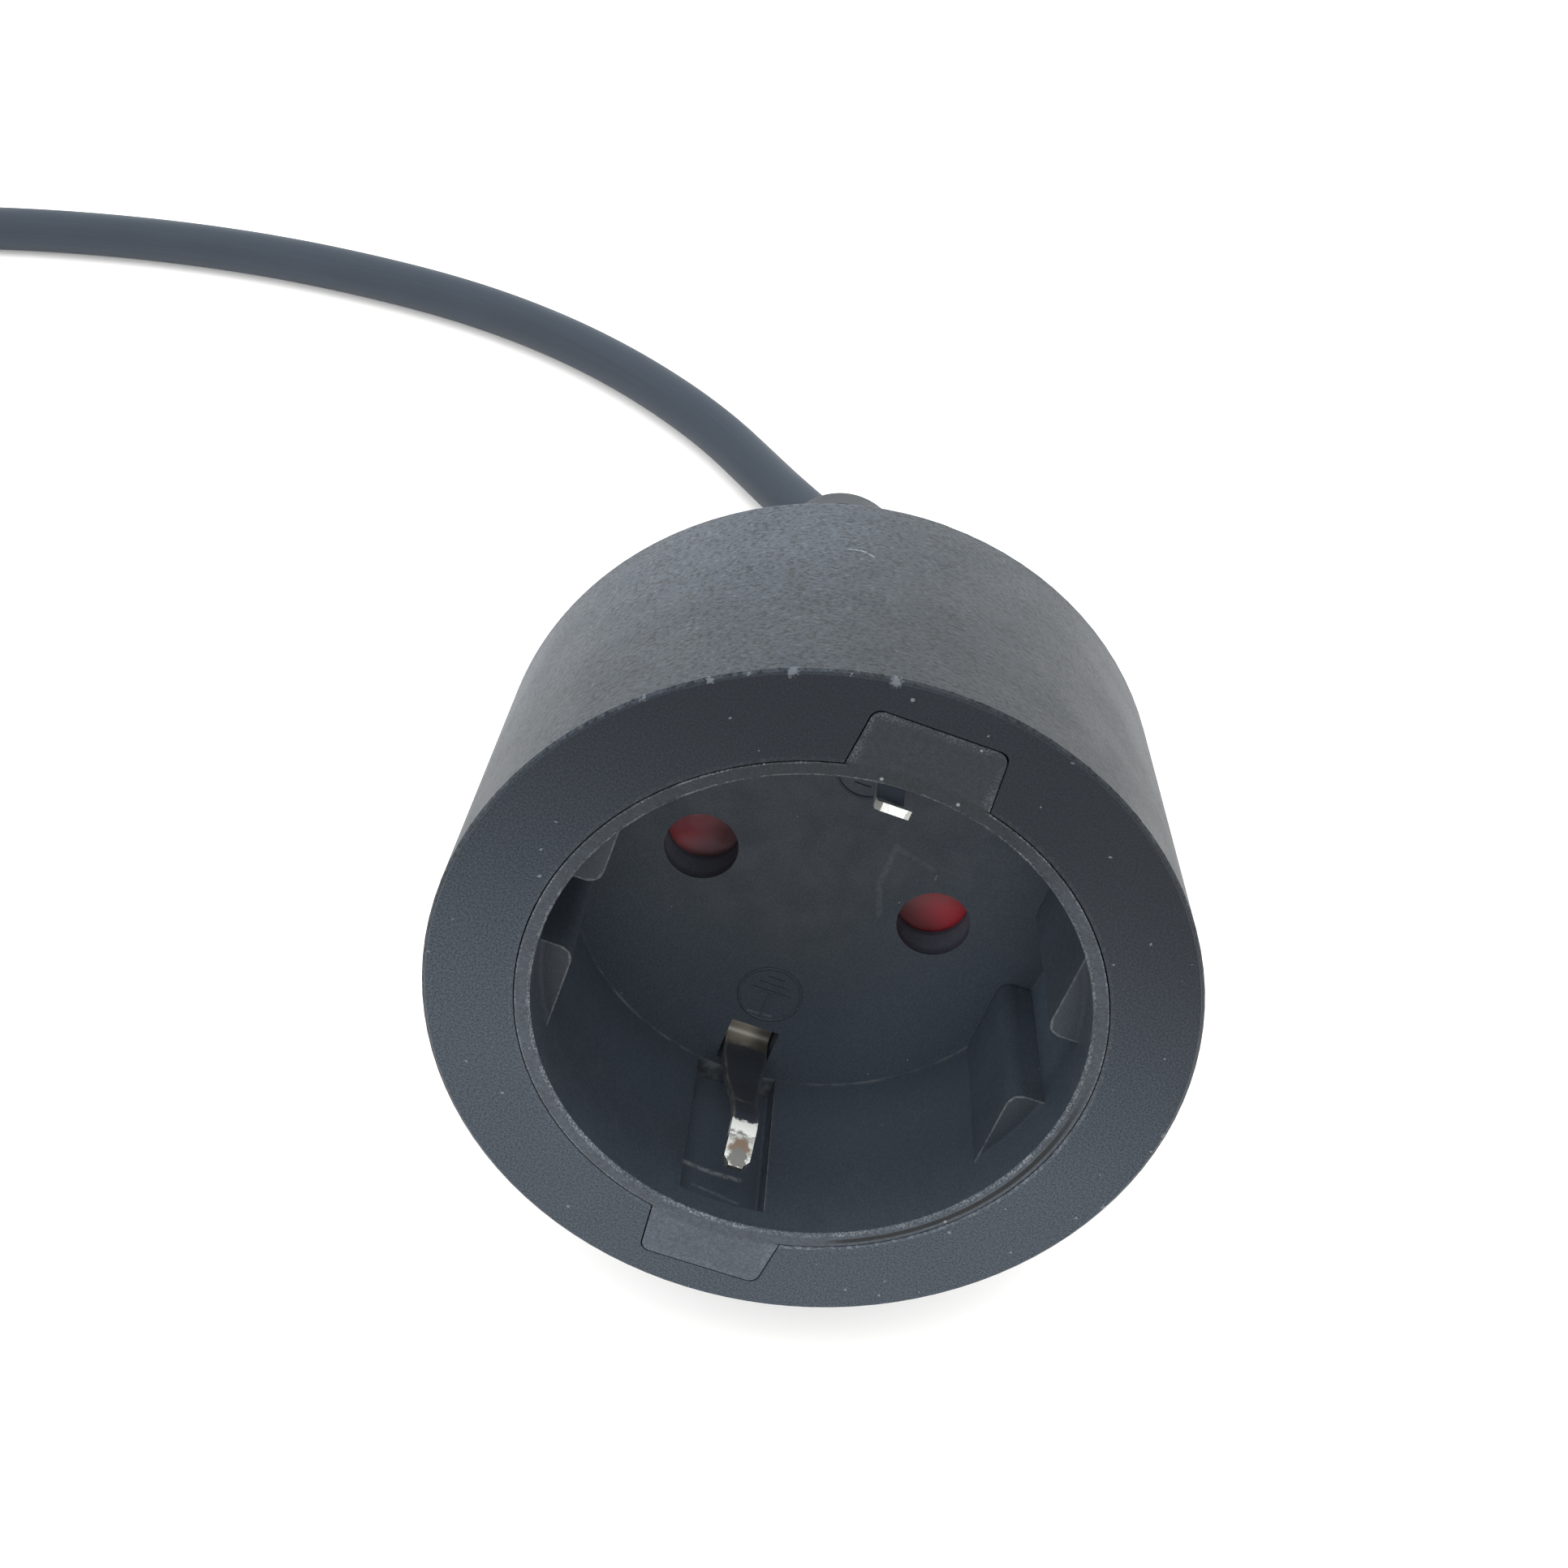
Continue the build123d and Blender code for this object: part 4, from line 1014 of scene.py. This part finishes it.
class SignTree(Wiring):
    """Node tree of the two earth signs, flat in the socket's frame with the floor at height zero."""

    def __init__(self, material):
        super().__init__(bpy.data.node_groups.new("earth_signs", "GeometryNodeTree"))
        face = self.tree.interface
        kinds = {"Radius": "Float", "Line": "Float", "Height": "Float", "Offset": "Float", "Bars": "Int"}
        self.sockets = {
            name: face.new_socket(name, in_out="INPUT", socket_type="NodeSocket" + kind).identifier
            for name, kind in kinds.items()
        }
        face.new_socket("Geometry", in_out="OUTPUT", socket_type="NodeSocketGeometry")
        self.given = self.add("NodeGroupInput").outputs
        sign = self.join(self.ring(), self.bars(), self.stem())
        down = self.math("MULTIPLY", self.given["Offset"], -1.0)
        low = self.move(sign, Translation=self.combine(y=down))
        both = self.join(low, self.move(low, Rotation=(0.0, 0.0, pi)))
        solid = self.add("GeometryNodeRealizeInstances", {"Geometry": both}).outputs[0]
        coloured = self.add("GeometryNodeSetMaterial", {"Geometry": solid, "Material": material})
        self.add("NodeGroupOutput", {"Geometry": coloured.outputs[0]})

    def move(self, shape, **change):
        return self.add("GeometryNodeTransform", {"Geometry": shape, **change}).outputs[0]

    def join(self, *parts):
        node = self.add("GeometryNodeJoinGeometry")
        for part in parts:
            self.feed(node.inputs[0], part)
        return node.outputs[0]

    def share(self, factor):
        """A share of the sign's radius."""
        return self.math("MULTIPLY", self.given["Radius"], factor)

    def thickness(self):
        """Twice the sign's height, since half of each line is sunk in the floor."""
        return self.math("MULTIPLY", self.given["Height"], 2.0)

    def block(self, length):
        size = self.combine(length, self.given["Line"], self.thickness())
        return self.add("GeometryNodeMeshCube", {"Size": size}).outputs["Mesh"]

    def ring(self):
        turn = {"Resolution": RING_STEPS, "Radius": self.given["Radius"]}
        circle = self.add("GeometryNodeCurvePrimitiveCircle", turn).outputs[0]
        size = {"Width": self.given["Line"], "Height": self.thickness()}
        section = self.add("GeometryNodeCurvePrimitiveQuadrilateral", size).outputs[0]
        tube = self.add("GeometryNodeCurveToMesh", {"Curve": circle, "Profile Curve": section})
        return tube.outputs[0]

    def bars(self):
        """Bars that shorten towards the middle of the socket."""
        line = self.add("GeometryNodeMeshLine", {
            "Count": self.given["Bars"],
            "Start Location": self.combine(y=self.share(FIRST_BAR)),
            "Offset": self.combine(y=self.share(BAR_STEP)),
        })
        index = self.add("GeometryNodeInputIndex").outputs[0]
        length = self.math("SUBTRACT", 1.0, self.math("MULTIPLY", index, BAR_TAPER))
        bars = self.add("GeometryNodeInstanceOnPoints", {
            "Points": line.outputs[0],
            "Instance": self.block(self.share(BAR_LENGTH)),
            "Scale": self.combine(length, 1.0, 1.0),
        })
        return bars.outputs[0]

    def stem(self):
        """Stem from the middle of the sign towards the rim of the socket."""
        middle = self.combine(y=self.share(-STEM_LENGTH / 2))
        upright = self.block(self.share(STEM_LENGTH))
        return self.move(upright, Rotation=(0.0, 0.0, pi / 2), Translation=middle)


class COUPLER_OT_signs(bpy.types.Operator):
    """Raise the two earth signs on the floor of the recess"""

    bl_idname = "coupler.signs"
    bl_label = "Earth Signs"

    def execute(self, context):
        settings = context.scene.coupler.sign
        signs = SignTree(frame["nodes"]["socket_insert"].data.materials[0])
        carrier = link(bpy.data.objects.new("earth_signs_tree", bpy.data.meshes.new("earth_signs_tree")))
        modifier = carrier.modifiers.new("earth_signs", "NODES")
        modifier.node_group = signs.tree
        for name, identifier in signs.sockets.items():
            modifier[identifier] = getattr(settings, name.lower())
        shape = carrier.evaluated_get(context.evaluated_depsgraph_get())
        mesh = bpy.data.meshes.new_from_object(shape)
        bpy.data.objects.remove(carrier)
        if not mesh.polygons:
            raise RuntimeError("The earth signs came out empty")
        mesh.transform(SOCKET @ Matrix.Translation((0.0, 0.0, -RECESS_DEPTH)))
        piece = link(bpy.data.objects.new("earth_signs", mesh))
        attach(piece, COUPLER)
        return {"FINISHED"}


class COUPLER_OT_shutter(bpy.types.Operator):
    """Finish the red shutter and its spring"""

    bl_idname = "coupler.shutter"
    bl_label = "Shutter"

    def execute(self, context):
        settings = context.scene.coupler
        dress(shutter_finish(settings.socket), "shutter")
        dress(metal_finish("spring_wire", settings.metal.steel_colour, DRAWN), "shutter_spring")
        return {"FINISHED"}


class COUPLER_OT_metal(bpy.types.Operator):
    """Finish the earth clips, the pin contacts and the plug's pins"""

    bl_idname = "coupler.metal"
    bl_label = "Clips, Contacts and Pins"

    def execute(self, context):
        settings = context.scene.coupler.metal
        dress(clip_finish(settings), "earth_contact")
        pins = metal_finish("pin_nickel", settings.nickel_colour, PLATED)
        dress(pins, "plug_line_pin", "plug_neutral_pin", "plug_earth_pin")
        brass = metal_finish("contact_brass", settings.brass_colour, PRESSED)
        dress(brass, "line_contact", "neutral_contact")
        return {"FINISHED"}


class COUPLER_OT_cores(bpy.types.Operator):
    """Finish the cores in the coupler and in the plug"""

    bl_idname = "coupler.cores"
    bl_label = "Cores"

    def execute(self, context):
        settings = context.scene.coupler.cores
        finishes = {
            "line_core": core_finish("core_brown", settings.line_colour),
            "neutral_core": core_finish("core_blue", settings.neutral_colour),
            "earth_core": core_finish("core_green", settings.earth_colour, settings.stripe_colour),
        }
        for core, finish in finishes.items():
            dress(finish, core, "plug_" + core)
        return {"FINISHED"}


class COUPLER_OT_lead(bpy.types.Operator):
    """Lay the lead from the coupler to the plug"""

    bl_idname = "coupler.lead"
    bl_label = "Lead"

    def execute(self, context):
        settings = context.scene.coupler.lead
        curve = bpy.data.curves.new("lead_sheath", "CURVE")
        curve.dimensions = "3D"
        spline = curve.splines.new("NURBS")
        spline.points.add(len(LEAD_ROUTE) - 1)
        for point, place in zip(spline.points, LEAD_ROUTE):
            point.co = (*place, 1.0)
        spline.order_u = 3
        spline.use_endpoint_u = True
        spline.resolution_u = LEAD_STEPS
        curve.bevel_depth = settings.diameter / 2
        curve.bevel_resolution = LEAD_ROUNDNESS
        curve.use_fill_caps = True
        curve.materials.append(sheath_finish(settings))
        lead = link(bpy.data.objects.new("lead_sheath", curve))
        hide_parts("cable_sheath")
        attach(lead, COUPLER)
        return {"FINISHED"}


class COUPLER_OT_stage(bpy.types.Operator):
    """Set the floor, the lights and the camera"""

    bl_idname = "coupler.stage"
    bl_label = "Stage"

    def execute(self, context):
        settings = context.scene.coupler.studio
        self.lay_floor(settings)
        self.light(context.scene, settings)
        self.place_camera(context.scene, settings)
        return {"FINISHED"}

    def lay_floor(self, settings):
        half = settings.floor_size / 2
        mesh = bpy.data.meshes.new("floor")
        corners = [(-half, -half, 0), (half, -half, 0), (half, half, 0), (-half, half, 0)]
        mesh.from_pydata(corners, [], [(0, 1, 2, 3)])
        bench = Bench("floor_white")
        mesh.materials.append(bench.shade(
            Base_Color=(*settings.floor_colour, 1.0),
            Roughness=0.9,
            Specular_IOR_Level=0.1,
            Emission_Color=(1.0, 1.0, 1.0, 1.0),
            Emission_Strength=settings.floor_glow,
        ))
        link(bpy.data.objects.new("floor", mesh))

    def light(self, scene, settings):
        world = bpy.data.worlds.new("studio_sky")
        world.use_nodes = True
        sky = Wiring(world.node_tree)
        ray = sky.add("ShaderNodeTexCoord").outputs["Generated"]
        towards_back = sky.vector("DOT_PRODUCT", ray, SKY_BACK)
        background = world.node_tree.nodes["Background"]
        sky.feed(background.inputs["Color"], (*settings.sky_colour, 1.0))
        sky.feed(
            background.inputs["Strength"],
            sky.ramp(towards_back, *SKY_FADE, settings.front_strength, settings.sky_strength),
        )
        scene.world = world
        lamp = bpy.data.lights.new("key", "AREA")
        lamp.shape = "DISK"
        lamp.size = settings.key_size
        lamp.energy = settings.key_power
        key = link(bpy.data.objects.new("key", lamp))
        key.location = settings.key_place
        key.rotation_euler = (-key.location).to_track_quat("-Z", "Y").to_euler()
        scene.view_settings.view_transform = "Standard"

    def place_camera(self, scene, settings):
        camera = bpy.data.cameras.new("camera")
        camera.sensor_width = SENSOR_WIDTH
        camera.lens = settings.lens
        camera.clip_start = NEAR_CLIP
        viewer = link(bpy.data.objects.new("camera", camera))
        viewer.location = settings.camera_place
        viewer.rotation_euler = (settings.camera_tilt, 0.0, settings.camera_heading)
        scene.camera = viewer


class COUPLER_PT_panel(bpy.types.Panel):
    """Sizes, colours and build steps of the coupler lead"""

    bl_label = "Coupler Lead"
    bl_space_type = "VIEW_3D"
    bl_region_type = "UI"
    bl_category = "Coupler"

    def draw(self, context):
        for operator in OPERATORS:
            self.layout.operator(operator.bl_idname)
        for group in CouplerSettings.__annotations__:
            box = self.layout.box()
            box.label(text=group.capitalize())
            settings = getattr(context.scene.coupler, group)
            for name in settings.__annotations__:
                box.prop(settings, name)


GROUPS = [
    MouldedFinish,
    SocketFinish,
    MetalFinish,
    CoreFinish,
    EarthSign,
    LeadShape,
    StudioSetup,
    CouplerSettings,
]
OPERATORS = [
    COUPLER_OT_mouldings,
    COUPLER_OT_inserts,
    COUPLER_OT_signs,
    COUPLER_OT_shutter,
    COUPLER_OT_metal,
    COUPLER_OT_cores,
    COUPLER_OT_lead,
    COUPLER_OT_stage,
]


def register():
    for entry in [*GROUPS, *OPERATORS, COUPLER_PT_panel]:
        bpy.utils.register_class(entry)
    bpy.types.Scene.coupler = PointerProperty(type=CouplerSettings)


def unregister():
    del bpy.types.Scene.coupler
    for entry in reversed([*GROUPS, *OPERATORS, COUPLER_PT_panel]):
        bpy.utils.unregister_class(entry)


def main():
    register()
    bpy.ops.coupler.mouldings()
    bpy.ops.coupler.inserts()
    bpy.ops.coupler.signs()
    bpy.ops.coupler.shutter()
    bpy.ops.coupler.metal()
    bpy.ops.coupler.cores()
    bpy.ops.coupler.lead()
    bpy.ops.coupler.stage()


if __name__ == "__main__":
    main()
